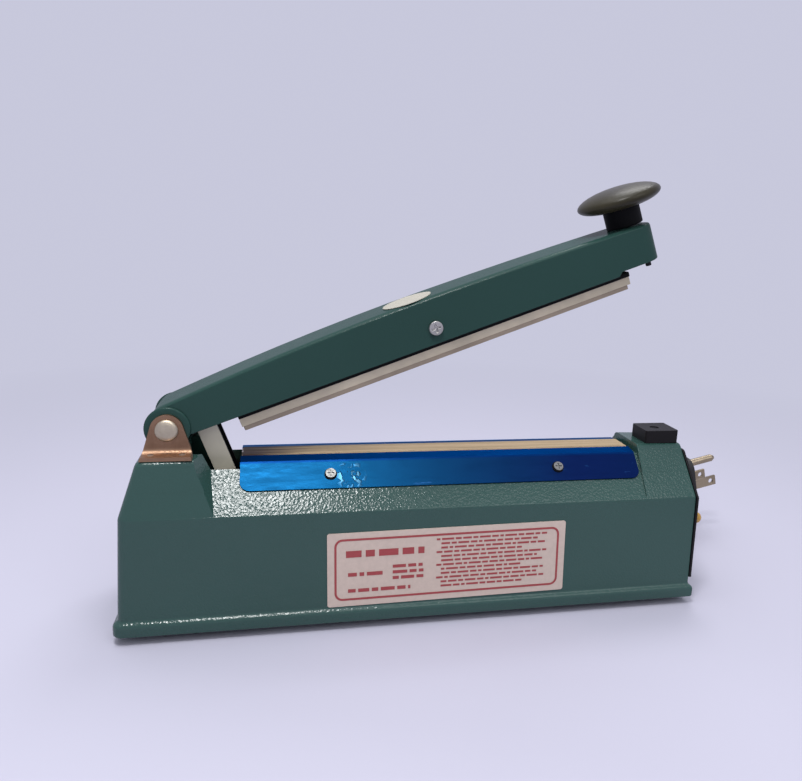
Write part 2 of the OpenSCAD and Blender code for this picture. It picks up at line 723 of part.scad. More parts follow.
// Bent clamp strip on the front facet, with round lower corners
module clamp_strip() {
    n = [-sin(facet_slope), cos(facet_slope)];
    d = [-cos(facet_slope), -sin(facet_slope)];
    knee = [-land_hw, land_z] + eps*n;
    foot = knee + strip_leg*d;
    lip = [-cloth_hw - eps, strip_top - strip_t];
    rise = (lip - knee)/norm(lip - knee);
    m = [-rise[1], rise[0]];
    profile = [foot, foot + strip_t*n, knee + strip_t*(n + m)/(1 + n*m), lip + strip_t*m, lip, knee];
    difference() {
        along_x(bar_x0 - 0.4, bar_x1 + 0.4) polygon(profile);
        for (x = screw_spots) strip_spot(x) rod_z(-wall, wall, 1.3);
        // Round lower corners, cut square to the sloped leg
        for (side = [0, 1]) translate([side == 0 ? bar_x0 - 0.4 : bar_x1 + 0.4, foot[0], foot[1]])
            rotate([facet_slope, 0, 0]) translate([0, 0, -wall]) linear_extrude(2*wall) difference() {
                translate([-5, -5]) square(10);
                translate([side == 0 ? 5 : -5, 5]) circle(r = 5);
                translate([side == 0 ? 5 : -15, -10]) square([10, 30]);
                translate([-10, 5]) square([20, 20]);
            }
    }
}

// Middle of a screw on the sloped leg, with up square to the leg
module strip_spot(x) {
    mid = strip_leg/2;
    translate([x, -land_hw - mid*cos(facet_slope), land_z - mid*sin(facet_slope)])
        rotate([facet_slope, 0, 0]) children();
}

module front_clamp_strip() { color([0.09, 0.25, 0.62]) placed() clamp_strip(); }

module rear_clamp_strip() { color([0.09, 0.25, 0.62]) placed() mirror([0, 1, 0]) clamp_strip(); }

module clamp_screws() {
    color([0.8, 0.8, 0.78]) placed()
        for (s = [0, 1], x = screw_spots) mirror([0, s, 0]) strip_spot(x) difference() {
        union() {
            rod_z(strip_t + eps, strip_t + 1.5, 2.5);
            rod_z(eps, strip_t + eps, 1.3 - run_gap);
        }
        for (a = [0, 90]) rotate(a) box([-1.7, -0.35, strip_t + 0.9], [1.7, 0.35, strip_t + 3]);
    }
}

module ribbon_terminals() {
    low = land_z - bar_stem_h;
    color([0.78, 0.65, 0.35]) placed() for (x = [bar_x0 + 1, bar_x1 - 9]) {
        box([x, -4, low - 4], [x + 8, 4, low]);
        translate([x + 4, 0, low - 5]) cylinder(h = 1, r = 2.6);
    }
}

module guide_block() {
    color([0.06, 0.06, 0.07]) placed() difference() {
        union() {
            translate([0, 0, shoulder_top_z]) linear_extrude(block_top - shoulder_top_z)
                round_rect([block_x0, block_y0], [block_x0 + block_len, block_y0 + block_w], 1.2);
            box([switch_x - block_stem_hx, switch_y - block_stem_hy, block_stem_low],
                [switch_x + block_stem_hx, switch_y + block_stem_hy, shoulder_top_z]);
        }
        translate([switch_x, switch_y, 0]) rod_z(0, over*4, plunger_r + 2*run_gap);
    }
}

module switch_plunger() {
    color([0.12, 0.12, 0.12]) placed() translate([switch_x, switch_y, 0])
        rod_z(plunger_low, plunger_top, plunger_r);
}

module micro_switch() {
    color([0.15, 0.15, 0.16]) placed() translate([switch_x, switch_y, switch_top]) {
        box([-12.4, -3.2, -11.5], [7, block_stem_hy, -1.2]);
        rod_z(-1.2, 0, 1.6);
        for (x = [-10.6, -3, 5]) box([x - 1.6, 0, -16.5], [x + 1.6, 0.8, -11.5]);
    }
}

module switch_bracket() {
    back = switch_y + block_stem_hy;
    color([0.7, 0.7, 0.68]) placed() box([switch_x - 9, back, switch_top - 9],
        [switch_x + 6, back + 1.5, shoulder_top_z - wall - seat_gap]);
}

module timer_pot() {
    color([0.55, 0.56, 0.55]) placed() translate([0, dial_y, dial_z]) difference() {
        union() {
            rod_x(end_x - 9, end_x, pot_r);
            rod_x(end_x, panel_x + 2.6, bush_r);
            rod_x(panel_x, panel_x + 1.8, 6.4, $fn = 6);
        }
        rod_x(end_x - 5, panel_x + over, shaft_d/2 + run_gap);
    }
}

module timer_shaft() {
    color([0.8, 0.8, 0.78]) placed() translate([0, dial_y, dial_z])
        rod_x(end_x - 4.5, dial_x + dial_h - 2, shaft_d/2);
}

module timer_dial() {
    grips = 18;
    color([0.06, 0.06, 0.07]) placed() translate([0, dial_y, dial_z]) difference() {
        union() {
            rod_x(dial_x, dial_x + 1.5, dial_d/2);
            rod_x(dial_x + 1.5, dial_x + dial_h, dial_d/2 - 3);
        }
        rod_x(dial_x - 1, dial_x + dial_h - 2, shaft_d/2 + run_gap);
        for (i = [0:grips - 1]) rotate([i*360/grips, 0, 0])
            translate([0, 0, dial_d/2 - 2.6]) rod_x(dial_x + 1.5, dial_x + over, 0.9);
        box([dial_x + dial_h - 0.5, -0.5, 2], [dial_x + over, 0.5, dial_d/2]);
    }
}

module timer_board() {
    color([0.12, 0.33, 0.2]) placed() box([board_back, board_low[0], board_low[1]],
        [board_back + 1.6, board_high[0], board_high[1]]);
}

module board_parts() {
    color([0.2, 0.2, 0.22]) placed() translate([board_back, board_low[0], board_low[1]]) {
        translate([-relay[0], relay_at[0], relay_at[1]]) cube(relay);
        for (y = can_ys) translate([0, y, can_z]) rod_x(-can_len, 0, can_r);
        translate([-chip[0], chip_at[0], chip_at[1]]) cube(chip);
    }
}

module lamp_bezel() {
    color([0.75, 0.75, 0.73]) placed() translate([0, lamp_y, lamp_z]) difference() {
        rod_x(panel_x, panel_x + 1.2, lamp_r + 1.3);
        rod_x(panel_x - 1, panel_x + 2, lamp_r + run_gap);
    }
}

module lamp_lens() {
    color([0.85, 0.6, 0.1]) placed() translate([0, lamp_y, lamp_z]) {
        rod_x(end_x - 9, panel_x + lamp_out, lamp_r);
        translate([panel_x + lamp_out, 0, 0]) rotate([0, 90, 0]) rotate_extrude()
            polygon(concat([[0, 0]], arc([0, 0], lamp_r, 0, 90, 6)));
    }
}

module transformer_core() {
    x1 = core_x0 + core_len;
    color([0.3, 0.3, 0.31]) placed() difference() {
        box([core_x0, -core_hw, core_z], [x1, core_hw, core_z + core_h]);
        for (s = [-1, 1]) translate([0, s*(core_leg + core_window/2), core_z + core_h/2])
            box([core_x0 - 1, -core_window/2, -core_h/2 + core_window],
                [x1 + 1, core_window/2, core_h/2 - core_window]);
    }
}

module transformer_coil() {
    x1 = core_x0 + core_len;
    color([0.6, 0.38, 0.16]) placed() difference() {
        translate([0, 0, core_z + core_window + seat_gap])
            linear_extrude(core_h - 2*core_window - 2*seat_gap)
            round_rect([core_x0 - coil_out, -core_leg - core_window + seat_gap],
                [x1 + coil_out, core_leg + core_window - seat_gap], 6);
        box([core_x0 - seat_gap, -core_leg - seat_gap, 0], [x1 + seat_gap, core_leg + seat_gap, over*3]);
    }
}

module transformer_frame() {
    x1 = core_x0 + core_len;
    color([0.62, 0.63, 0.62]) placed() {
        box([core_x0 - frame_out, -core_hw, floor_z], [x1 + frame_out, core_hw, core_z]);
        for (x = [core_x0 - frame_out + 4, x1 + frame_out - 4], y = [-20, 20])
            translate([x, y, core_z]) cylinder(h = 2, r = frame_rivet_r);
    }
}

// Straight runs of insulated wire with round elbows
module wire(points, r) {
    for (i = [0:len(points) - 2]) {
        step = points[i + 1] - points[i];
        translate(points[i]) rotate([0, acos(step[2]/norm(step)), atan2(step[1], step[0])])
            cylinder(h = norm(step), r = r, $fn = 24);
        if (i > 0) translate(points[i]) sphere(r = r, $fn = 24);
    }
}

module heater_leads() {
    low = land_z - bar_stem_h - 5;
    x1 = core_x0 + core_len + coil_out;
    mid_z = core_z + core_h/2;
    color([0.6, 0.12, 0.1]) placed() {
        wire([[bar_x0 + 5, 4, low + 3], [bar_x0 + 5, 14, low + 3], [bar_x0 + 5, 14, mid_z],
            [core_x0 - coil_out, 14 - 4, mid_z]], 1);
        wire([[bar_x1 - 5, 0, low], [bar_x1 - 5, 0, low - 4], [x1 + 12, 0, low - 4], [x1 + 12, 0, mid_z],
            [x1, 0, mid_z]], 1);
    }
}

// One tube swept along points, with round sides and flat ends
function unit(v) = v/norm(v);
function tangent(p, i) = unit(p[min(i + 1, len(p) - 1)] - p[max(i - 1, 0)]);
function ring(at, t, r, n) = let (side = unit(cross(t, [0, 0, 1])), up = cross(side, t))
    [for (k = [0:n - 1]) at + r*(cos(360*k/n)*side + sin(360*k/n)*up)];

module tube(p, r, n) {
    m = len(p);
    points = concat([for (i = [0:m - 1]) each ring(p[i], tangent(p, i), r, n)], [p[0], p[m - 1]]);
    sides = [for (i = [0:m - 2], k = [0:n - 1], half = [0, 1]) let (a = i*n + k, b = i*n + (k + 1) % n)
        half == 0 ? [a, b, a + n] : [b, b + n, a + n]];
    ends = [for (k = [0:n - 1], e = [0, 1]) let (k1 = (k + 1) % n, last = (m - 1)*n)
        e == 0 ? [k1, k, m*n] : [last + k, last + k1, m*n + 1]];
    polyhedron(points, [for (f = concat(sides, ends)) [f[0], f[2], f[1]]]);
}

// The hank: loops that climb layer by layer and swing in and out, drawn in at the waist
function swing(s) = let (d = s - hank_turn) abs(d - 2*round(d/2));
function ramp(t) = let (c = max(0, min(1, t))) c*c*(3 - 2*c);
function climb(s) = ramp((s - hank_turn)*rings/7 + 0.5) + ramp((s - hank_turn - 1)*rings/7 + 0.5)
    + ramp((s - hank_turn - 2)*rings/7 + 0.5);
function waist(q) = (1 - cos(360*q))/2;
function hank_side(q, side, r, z) = [hank_x0 + (hank_x1 - hank_x0)*(side < 0 ? q : 1 - q),
    hank_y + side*(r - hank_waist*waist(q)), z + hank_lift*waist(q)];
function hank_fold(x, a, r, z) = [x + r*cos(a), hank_y + r*sin(a), z];
function hank_point(s) = let (k = (s - floor(s))*rings, r = hank_in + hank_step*swing(s),
    z = lead_r + 0.1 + hank_layer*climb(s))
    k < 7 ? hank_side(k/7, -1, r, z)
    : k < 12 ? hank_fold(hank_x1, -90 + 36*(k - 7), r, z)
    : k < 19 ? hank_side((k - 12)/7, 1, r, z)
    : hank_fold(hank_x0, 90 + 36*(k - 19), r, z);
hank_start = hank_point(0);
hank_finish = hank_point(hank_end);
hank_out = unit(hank_finish - hank_point(hank_end - 0.02));
hank_route = concat([hank_start, hank_start + [lead_d, 0, 0]],
    [for (i = [1:hank_end*rings - 0.5]) hank_point(i/rings)],
    [hank_finish - 0.1*hank_out*lead_d, hank_finish]);
lead_route = concat([[gland_x, boot_end, gland_z]], lead_points,
    [hank_start - [lead_d, 0, 0], hank_start]);
plug_dir = [cos(plug_tilt), 0, sin(plug_tilt)];
plug_tail = plug_at - plug_len*plug_dir;
tail_route = concat([hank_finish, hank_finish + hank_out*lead_d], tail_points,
    [plug_tail - lead_d*plug_dir, plug_tail]);

// Least gap between two loops of the hank, measured on fine points
fine = [for (i = [0:hank_end*48]) hank_point(i/48)];
last_fine = len(fine) - 1;
hank_gap = min([for (i = [0:last_fine], j = [i + 12:1:last_fine]) norm(fine[i] - fine[j])]) - lead_d;
function route_len(p, i = 1) = i >= len(p) ? 0 : norm(p[i] - p[i - 1]) + route_len(p, i + 1);
lead_length = route_len(lead_route) + route_len(fine) + route_len(tail_route);
echo(hank_gap = hank_gap, lead_length = lead_length);  // lead_hank

module cord_boot() {
    flange_y = gland_y + 0.9;
    color([0.08, 0.08, 0.08]) placed() translate([gland_x, 0, gland_z]) {
        rod_y(gland_y - wall, flange_y, lead_r + 1.3);
        rod_y(flange_y, flange_y + 2.5, lead_r + 4);
        translate([0, boot_end, 0]) rotate([90, 0, 0])
            cylinder(h = boot_len - 3.4, r1 = lead_r + 0.6, r2 = lead_r + 2.6);
    }
}

module lead_stretch() { color([0.06, 0.06, 0.06]) placed() tube(lead_route, lead_r, 8); }

module lead_hank() { color([0.06, 0.06, 0.06]) placed() tube(hank_route, lead_r, 6); }

module lead_tail() { color([0.06, 0.06, 0.06]) placed() tube(tail_route, lead_r, 8); }

module cord_tie() {
    mid = (hank_x0 + hank_x1)/2;
    hw = hank_in + hank_step - hank_waist + lead_r + seat_gap + 0.5;
    low = hank_lift - seat_gap - 0.1;
    high = lead_d + 3*hank_layer + hank_lift + seat_gap + 0.2;
    color([0.12, 0.12, 0.12]) placed() translate([mid, hank_y, 0]) along_x(-tie_w/2, tie_w/2) difference() {
        round_rect([-hw - tie_t, low - tie_t], [hw + tie_t, high + tie_t], 5);
        round_rect([-hw, low], [hw, high], 4);
    }
}

// Puts children on the plug: along it from its face towards the prongs
module on_plug() { translate(plug_at) rotate([0, -plug_tilt, 0]) children(); }

module plug_body() {
    color([0.06, 0.06, 0.06]) placed() on_plug() {
        along_x(-plug_face, 0) round_rect([-12, -12], [12, 14], 7);
        translate([-plug_face, 0, 1]) rotate([0, -90, 0]) cylinder(h = plug_back, r1 = 11.5, r2 = 6.5);
        translate([-plug_len, 0, 0]) rotate([0, 90, 0])
            cylinder(h = plug_boot + 2, r1 = lead_r + 0.7, r2 = lead_r + 2.4);
    }
}

module plug_prongs() {
    color([0.75, 0.7, 0.62]) placed() on_plug() {
        for (y = [-6.35, 6.35]) difference() {
            box([0, y - 0.75, -8.7], [17, y + 0.75, -2.3]);
            translate([13.5, y, -5.5]) rod_y(-2, 2, 1.6);
        }
        translate([0, 0, 7.6]) {
            rod_x(0, 19, 2.4);
            translate([19, 0, 0]) rotate([0, 90, 0]) cylinder(h = 2, r1 = 2.4, r2 = 1.2);
        }
    }
}

housing();
bottom_cover();
rubber_feet();
cover_screws();
end_panel();
panel_screws();
label_plate();
hinge_bracket_front();
hinge_bracket_rear();
bracket_screws();
hinge_axle();
handle_shell();
lever_arm();
return_spring();
spring_anchor();
pressure_bar();
silicone_strip();
handle_screw();
hand_knob();
knob_bolt();
switch_pin();
handle_sticker();
seal_bar();
heating_ribbon();
release_cloth();
front_clamp_strip();
rear_clamp_strip();
clamp_screws();
ribbon_terminals();
guide_block();
switch_plunger();
micro_switch();
switch_bracket();
timer_pot();
timer_dial();
timer_shaft();
timer_board();
board_parts();
lamp_bezel();
lamp_lens();
transformer_core();
transformer_coil();
transformer_frame();
heater_leads();
cord_boot();
lead_stretch();
lead_hank();
lead_tail();
cord_tie();
plug_body();
plug_prongs();
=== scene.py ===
"""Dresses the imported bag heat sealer: rounded case and handle, finishes, mains lead, light and camera."""
import json
import math

import bmesh
import bpy
from bpy.props import FloatProperty, FloatVectorProperty, PointerProperty
from mathutils import Matrix, Vector


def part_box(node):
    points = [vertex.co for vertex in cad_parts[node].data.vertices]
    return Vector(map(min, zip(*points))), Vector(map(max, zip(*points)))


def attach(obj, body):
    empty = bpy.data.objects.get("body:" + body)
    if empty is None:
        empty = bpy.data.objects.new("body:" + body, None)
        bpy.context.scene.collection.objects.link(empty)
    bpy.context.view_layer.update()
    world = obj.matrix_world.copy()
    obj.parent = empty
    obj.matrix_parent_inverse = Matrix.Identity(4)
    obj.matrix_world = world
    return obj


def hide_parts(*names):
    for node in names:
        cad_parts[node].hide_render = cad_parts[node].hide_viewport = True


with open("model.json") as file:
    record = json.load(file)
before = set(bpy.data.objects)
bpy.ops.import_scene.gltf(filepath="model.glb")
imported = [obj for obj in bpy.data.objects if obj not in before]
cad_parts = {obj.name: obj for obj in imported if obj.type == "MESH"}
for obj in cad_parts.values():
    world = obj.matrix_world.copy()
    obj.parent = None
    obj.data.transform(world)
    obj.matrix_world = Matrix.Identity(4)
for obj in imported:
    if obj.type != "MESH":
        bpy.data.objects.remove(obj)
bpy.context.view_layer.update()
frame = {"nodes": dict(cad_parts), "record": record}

bl_info = {
    "name": "Bag Heat Sealer",
    "version": (1, 0, 0),
    "blender": (4, 5, 0),
    "location": "View3D > Sidebar > Sealer",
    "description": "Finishes the packed bag heat sealer and sets up its picture",
    "category": "Object",
}

MM = 0.001
# The sealer's drawing has its own middle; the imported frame's origin lies this far along it
MID_X = 4.225
JOINTS = {joint["name"]: joint for joint in frame["record"]["behaviour"]["joints"]}
PIVOT = Vector(JOINTS["handle_close"]["pos_m"])
OPEN_ANGLE = math.radians(JOINTS["handle_close"]["range_deg"][1])
ON_HANDLE = Matrix.Translation(PIVOT) @ Matrix.Rotation(-OPEN_ANGLE, 4, "Y") @ Matrix.Scale(MM, 4)
ON_CASE = Matrix.Translation((-MID_X * MM, 0, 0)) @ Matrix.Scale(MM, 4)
BODY_OF = {node: body for body, nodes in frame["record"]["behaviour"]["bodies"].items() for node in nodes}
SLOT_OF = {part["node"]: part["material_slot"] for part in frame["record"]["subparts"]}
# The clamp film: its painted shade colours at the far end and the fold, its scuff colour and painted glint colour,
# its edge tint, and in metres the height of its fold and the middle of its dents and painted glint
FILM_FAR_SHADE, FILM_FOLD_SHADE = (0.0043, 0.014, 0.076), (0.002, 0.026, 0.125)
FILM_SCUFF, FILM_PAINTED_GLINT = (0.03, 0.12, 0.32), (0.16, 0.45, 0.66)
FILM_EDGE_TINT = (0.35, 0.65, 1, 1)
FILM_FOLD_Z = 0.0802
DENTS_AND_GLINT_AT = (-0.0425, -0.0205, 0.0745)
# The rear strip's lip, in metres
REAR_LIP_Z, REAR_LIP_DROP = 0.0812, 0.0005
# The front wall, in the drawing's millimetres
WALL_HALF, WALL_DRAFT, FLARE_Z, CREASE_Z, LABEL_THICK = 35.5, 2.0, 12.0, 60.5, 0.42
CREASE_HALF = WALL_HALF - WALL_DRAFT
# The knob's neck, the lever's hollow, the strip's screws and the timer dial, in the drawing's millimetres
NECK_TOP = 25.5
LEVER_BACK, LEVER_INNER = 11.0, 4.7
STRIP_SCREWS = [(x, -19.31, 74.69) for x in (-48.17, 70.59)]
PANEL_X, DIAL_Y, DIAL_Z = 146.7, 3.0, 38.0


class SealerSizes(bpy.types.PropertyGroup):
    """Sizes that a user may change, in metres"""
    hinge_corner: FloatProperty(name="Hinge corner", description="Radius of the case's corners at the hinge end",
                                default=0.004, unit="LENGTH")
    knob_corner: FloatProperty(name="Knob corner", description="Radius of the case's corners at the knob end",
                               default=0.0006, unit="LENGTH")
    handle_edge: FloatProperty(name="Handle edge", description="Radius along the handle's top edges",
                               default=0.0014, unit="LENGTH")
    lead: FloatProperty(name="Lead diameter", description="Diameter of the mains lead", default=0.0062, unit="LENGTH")
    hammer_cell: FloatProperty(name="Hammer cell", description="Size of one dimple in the hammered enamel",
                               default=0.0011, unit="LENGTH")


class SealerColours(bpy.types.PropertyGroup):
    """Colours that a user may change"""
    enamel: FloatVectorProperty(name="Enamel", description="Hammered enamel of case and handle", subtype="COLOR",
                                size=3, default=(0.029, 0.077, 0.067))
    film: FloatVectorProperty(name="Clamp film", description="Blue film on the clamp strips", subtype="COLOR",
                              size=3, default=(0.003, 0.048, 0.120))
    cloth: FloatVectorProperty(name="Release cloth", description="Coated cloth over the sealing bar", subtype="COLOR",
                               size=3, default=(0.46, 0.34, 0.21))
    label: FloatVectorProperty(name="Label", description="Label plate on the front", subtype="COLOR",
                               size=3, default=(0.63, 0.51, 0.44))
    floor: FloatVectorProperty(name="Floor", description="Floor and backdrop", subtype="COLOR",
                               size=3, default=(0.55, 0.54, 0.66))


class Finish:
    """One material, with short calls for its nodes"""

    def __init__(self, name, colour, rough, metal=0.0):
        self.material = bpy.data.materials.new(name)
        self.material.use_nodes = True
        self.tree = self.material.node_tree
        self.shader = self.tree.nodes["Principled BSDF"]
        self.material.diffuse_color = (*colour, 1)
        self.put(self.shader, {"Base Color": (*colour, 1), "Roughness": rough, "Metallic": metal})
        self.coords = self.tree.nodes.new("ShaderNodeTexCoord").outputs["Object"]
        self.height = None

    def put(self, node, values):
        for key, value in values.items():
            if isinstance(value, bpy.types.NodeSocket):
                self.tree.links.new(value, node.inputs[key])
            else:
                node.inputs[key].default_value = value
        return node

    def add(self, kind, values=None, **settings):
        node = self.tree.nodes.new("ShaderNode" + kind)
        for key, value in settings.items():
            setattr(node, key, value)
        return self.put(node, values or {})

    def stretched(self, scale, rotation=(0, 0, 0)):
        values = {"Vector": self.coords, "Scale": scale, "Rotation": rotation}
        return self.add("Mapping", values).outputs["Vector"]

    def noise(self, scale, detail=2.0, rough=0.5, vector=None):
        values = {"Vector": vector or self.coords, "Scale": scale, "Detail": detail, "Roughness": rough}
        return self.add("TexNoise", values).outputs["Fac"]

    def span(self, source, low, high, to_low=0.0, to_high=1.0):
        values = {"Value": source, "From Min": low, "From Max": high, "To Min": to_low, "To Max": to_high}
        return self.add("MapRange", values).outputs["Result"]

    def math(self, operation, a, b):
        node = self.add("Math", operation=operation)
        self.put(node, {0: a, 1: b})
        return node.outputs["Value"]

    def mix(self, factor, a, b):
        node = self.add("Mix", data_type="RGBA")
        for index, value in ((0, factor), (6, a), (7, b)):
            if isinstance(value, bpy.types.NodeSocket):
                self.tree.links.new(value, node.inputs[index])
            else:
                node.inputs[index].default_value = value if index == 0 else (*value, 1)
        return node.outputs[2]

    def bump(self, height, distance, strength=1.0):
        node = self.add("Bump", {"Height": height, "Distance": distance, "Strength": strength})
        if self.height:
            self.tree.links.new(self.height, node.inputs["Normal"])
        self.height = node.outputs["Normal"]
        self.put(self.shader, {"Normal": self.height})

    def set(self, **values):
        self.put(self.shader, {key.replace("_", " "): value for key, value in values.items()})


def shade(colour, factor):
    """A lighter or darker colour"""
    return tuple(min(1.0, channel * factor) for channel in colour)


def enamel_finish(name, colour, cell, depth=0.55, gloss=1.0):
    """Hammered enamel: fine glossy dimples that break up a lamp's reflection into sparkles"""
    finish = Finish(name, colour, 0.6)
    warp = finish.add("VectorMath", {0: finish.coords}, operation="ADD")
    shift = finish.add("TexNoise", {"Vector": finish.coords, "Scale": 0.6 / cell, "Detail": 1.0})
    small = finish.add("VectorMath", {0: shift.outputs["Color"], "Scale": cell * 0.9}, operation="SCALE")
    finish.tree.links.new(small.outputs["Vector"], warp.inputs[1])
    cells = finish.add("TexVoronoi", {"Vector": warp.outputs["Vector"], "Scale": 1 / cell, "Smoothness": 0.6},
                       feature="SMOOTH_F1").outputs["Distance"]
    tone = finish.noise(9, 2)
    base = finish.mix(finish.span(tone, 0.35, 0.65), shade(colour, 0.95), shade(colour, 1.05))
    finish.set(Base_Color=base, Specular_IOR_Level=0.0, Coat_Weight=gloss, Coat_IOR=1.45)
    finish.set(Coat_Roughness=finish.span(finish.noise(160, 2), 0.3, 0.7, 0.17, 0.23))
    # The coat is hammered deeply, the paint below it only faintly
    for socket, strength in (("Coat_Normal", depth), ("Normal", depth * 0.2)):
        dimples = finish.add("Bump", {"Height": cells, "Distance": cell * 0.22, "Strength": strength})
        finish.set(**{socket: dimples.outputs["Normal"]})
    return finish.material


def moulded_finish(name, colour, rough, grain=900, depth=0.00006, gloss=0.5):
    """Moulded plastic or rubber with a fine grain and slightly worn patches"""
    finish = Finish(name, colour, rough)
    patches = finish.noise(35, 4)
    finish.set(Base_Color=finish.mix(finish.span(patches, 0.35, 0.7), colour, shade(colour, 1.5)),
               Roughness=finish.span(patches, 0.3, 0.7, rough * 0.85, min(1.0, rough * 1.15)),
               Specular_IOR_Level=gloss)
    finish.bump(finish.noise(grain, 2), depth, 0.6)
    return finish.material


def metal_finish(name, colour, rough, brush=(60, 1400, 1400), tarnish=None):
    """Plated metal with brush lines and a little tarnish"""
    finish = Finish(name, colour, rough, 1.0)
    lines = finish.noise(1.0, 3, 0.6, finish.stretched(brush))
    stains = finish.noise(90, 4)
    dull = tarnish or shade(colour, 0.72)
    finish.set(Base_Color=finish.mix(finish.span(stains, 0.42, 0.75), colour, dull),
               Roughness=finish.span(lines, 0.3, 0.7, rough * 0.75, min(1.0, rough * 1.35)))
    finish.bump(lines, 0.00004, 0.5)
    return finish.material


def film_finish(name, colour):
    """Blue film on bright sheet, dented: azure towards the hinge, with painted shade to navy at the far end and along
    its top, and a painted glint on the dents
    """
    finish = Finish(name, colour, 0.42, 1.0)
    axes = finish.add("SeparateXYZ", {"Vector": finish.coords})
    # Painted shade: the film fades from azure at the hinge to navy at the far end, in place of the lamp's reflection
    # falling off
    shade_sweep = finish.math("ADD", finish.span(axes.outputs["X"], -0.040, 0.080),
                        finish.span(finish.noise(12, 2), 0.0, 1.0, -0.15, 0.15))
    tone = finish.mix(finish.span(shade_sweep, 0.0, 1.0), colour, FILM_FAR_SHADE)
    # Painted shade along the top fold, in place of the dark underside that the fold reflects
    fold_shade_mask = finish.span(axes.outputs["Z"], FILM_FOLD_Z - 0.0004, FILM_FOLD_Z + 0.0003, 0.0, 0.9)
    tone = finish.mix(fold_shade_mask, tone, FILM_FOLD_SHADE)
    scuffs = finish.noise(1.0, 4, 0.7, finish.stretched((60, 260, 260), rotation=(0, 0.9, 0)))
    tone = finish.mix(finish.span(scuffs, 0.66, 0.82), tone, FILM_SCUFF)
    # Small dents right of the hinge-side screw, with a painted glint on them
    near = finish.add("VectorMath", {0: finish.coords, 1: DENTS_AND_GLINT_AT}, operation="DISTANCE").outputs["Value"]
    dents_and_glint = finish.math("MULTIPLY", finish.span(finish.noise(330, 1), 0.52, 0.62),
                        finish.span(near, 0.008, 0.003))
    tone = finish.mix(finish.math("MULTIPLY", dents_and_glint, 0.6), tone, FILM_PAINTED_GLINT)
    finish.set(Base_Color=tone, Roughness=finish.span(scuffs, 0.4, 0.75, 0.36, 0.5),
               Specular_Tint=FILM_EDGE_TINT)
    finish.bump(finish.noise(1.0, 2, 0.5, finish.stretched((40, 120, 120))), 0.0009, 0.25)
    finish.bump(scuffs, 0.0002, 0.4)
    finish.bump(dents_and_glint, 0.0006, 0.6)
    return finish.material


# Radians per metre, so that one thread of the cloth is about a millimetre apart from the next
WEAVE_TURNS = 6283.0
# Colour of the painted dark reflection on the cloth towards the hinge
CLOTH_DARK_REFLECTION = (0.060, 0.033, 0.020)


def cloth_finish(name, colour):
    """Coated glass cloth: fine square weave, glazed brown streaks along the seal, and a painted dark reflection
    towards the hinge
    """
    finish = Finish(name, colour, 0.5)
    axes = finish.add("SeparateXYZ", {"Vector": finish.coords})
    warp, weft = (finish.math("SINE", finish.math("MULTIPLY", axes.outputs[axis], WEAVE_TURNS), 0.0)
                  for axis in ("X", "Y"))
    weave = finish.math("MULTIPLY", warp, weft)
    streaks = finish.noise(1.0, 4, 0.6, finish.stretched((12, 260, 60)))
    base = finish.mix(finish.span(streaks, 0.35, 0.75), colour, shade(colour, 0.6))
    base = finish.mix(finish.span(weave, -1, 1, 0.0, 0.25), base, shade(colour, 1.25))
    # Painted dark reflection: dark brown towards the hinge; a little paler at the switch end
    dark_reflection = finish.math("ADD", finish.span(axes.outputs["X"], -0.094, -0.058, 1.0, 0.0),
                         finish.span(streaks, 0.3, 0.7, -0.25, 0.25))
    base = finish.mix(finish.span(dark_reflection, 0.1, 0.8), base, CLOTH_DARK_REFLECTION)
    base = finish.mix(finish.span(axes.outputs["X"], 0.107, 0.111, 0.0, 0.7), base, shade(colour, 1.05))
    finish.set(Base_Color=base, Roughness=finish.span(streaks, 0.3, 0.7, 0.4, 0.6), Specular_IOR_Level=0.12)
    finish.bump(weave, 0.00006, 0.6)
    return finish.material


def paper_finish(name, colour):
    """Printed film or paper with faint mottling"""
    finish = Finish(name, colour, 0.55)
    mottle = finish.noise(420, 4, 0.6)
    finish.set(Base_Color=finish.mix(finish.span(mottle, 0.35, 0.7), colour, shade(colour, 0.92)))
    finish.bump(mottle, 0.00003, 0.5)
    return finish.material


def wound_finish(name, colour):
    """Varnished copper winding"""
    finish = Finish(name, colour, 0.4, 0.6)
    turns = finish.noise(1.0, 2, 0.5, finish.stretched((30, 30, 1600)))
    finish.set(Base_Color=finish.mix(finish.span(turns, 0.35, 0.65), shade(colour, 0.6), colour))
    finish.bump(turns, 0.0002, 0.8)
    return finish.material


def painted_finish(name, colour, rough, gloss):
    """Plain satin paint or dull plate with faint clouding"""
    finish = Finish(name, colour, rough)
    cloud = finish.noise(70, 3)
    finish.set(Base_Color=finish.mix(finish.span(cloud, 0.3, 0.7), colour, shade(colour, 0.88)),
               Specular_IOR_Level=gloss)
    finish.bump(finish.noise(900, 2), 0.00003, 0.4)
    return finish.material


def lens_finish(name, colour):
    """Amber moulding, lit from within by what falls on it"""
    finish = Finish(name, colour, 0.18)
    cloud = finish.noise(300, 2)
    finish.set(Base_Color=finish.mix(finish.span(cloud, 0.3, 0.7), colour, shade(colour, 0.75)),
               Subsurface_Weight=0.4, Subsurface_Radius=(0.004, 0.002, 0.001), Coat_Weight=0.6)
    finish.bump(cloud, 0.00005, 0.4)
    return finish.material


FINISHES = {}


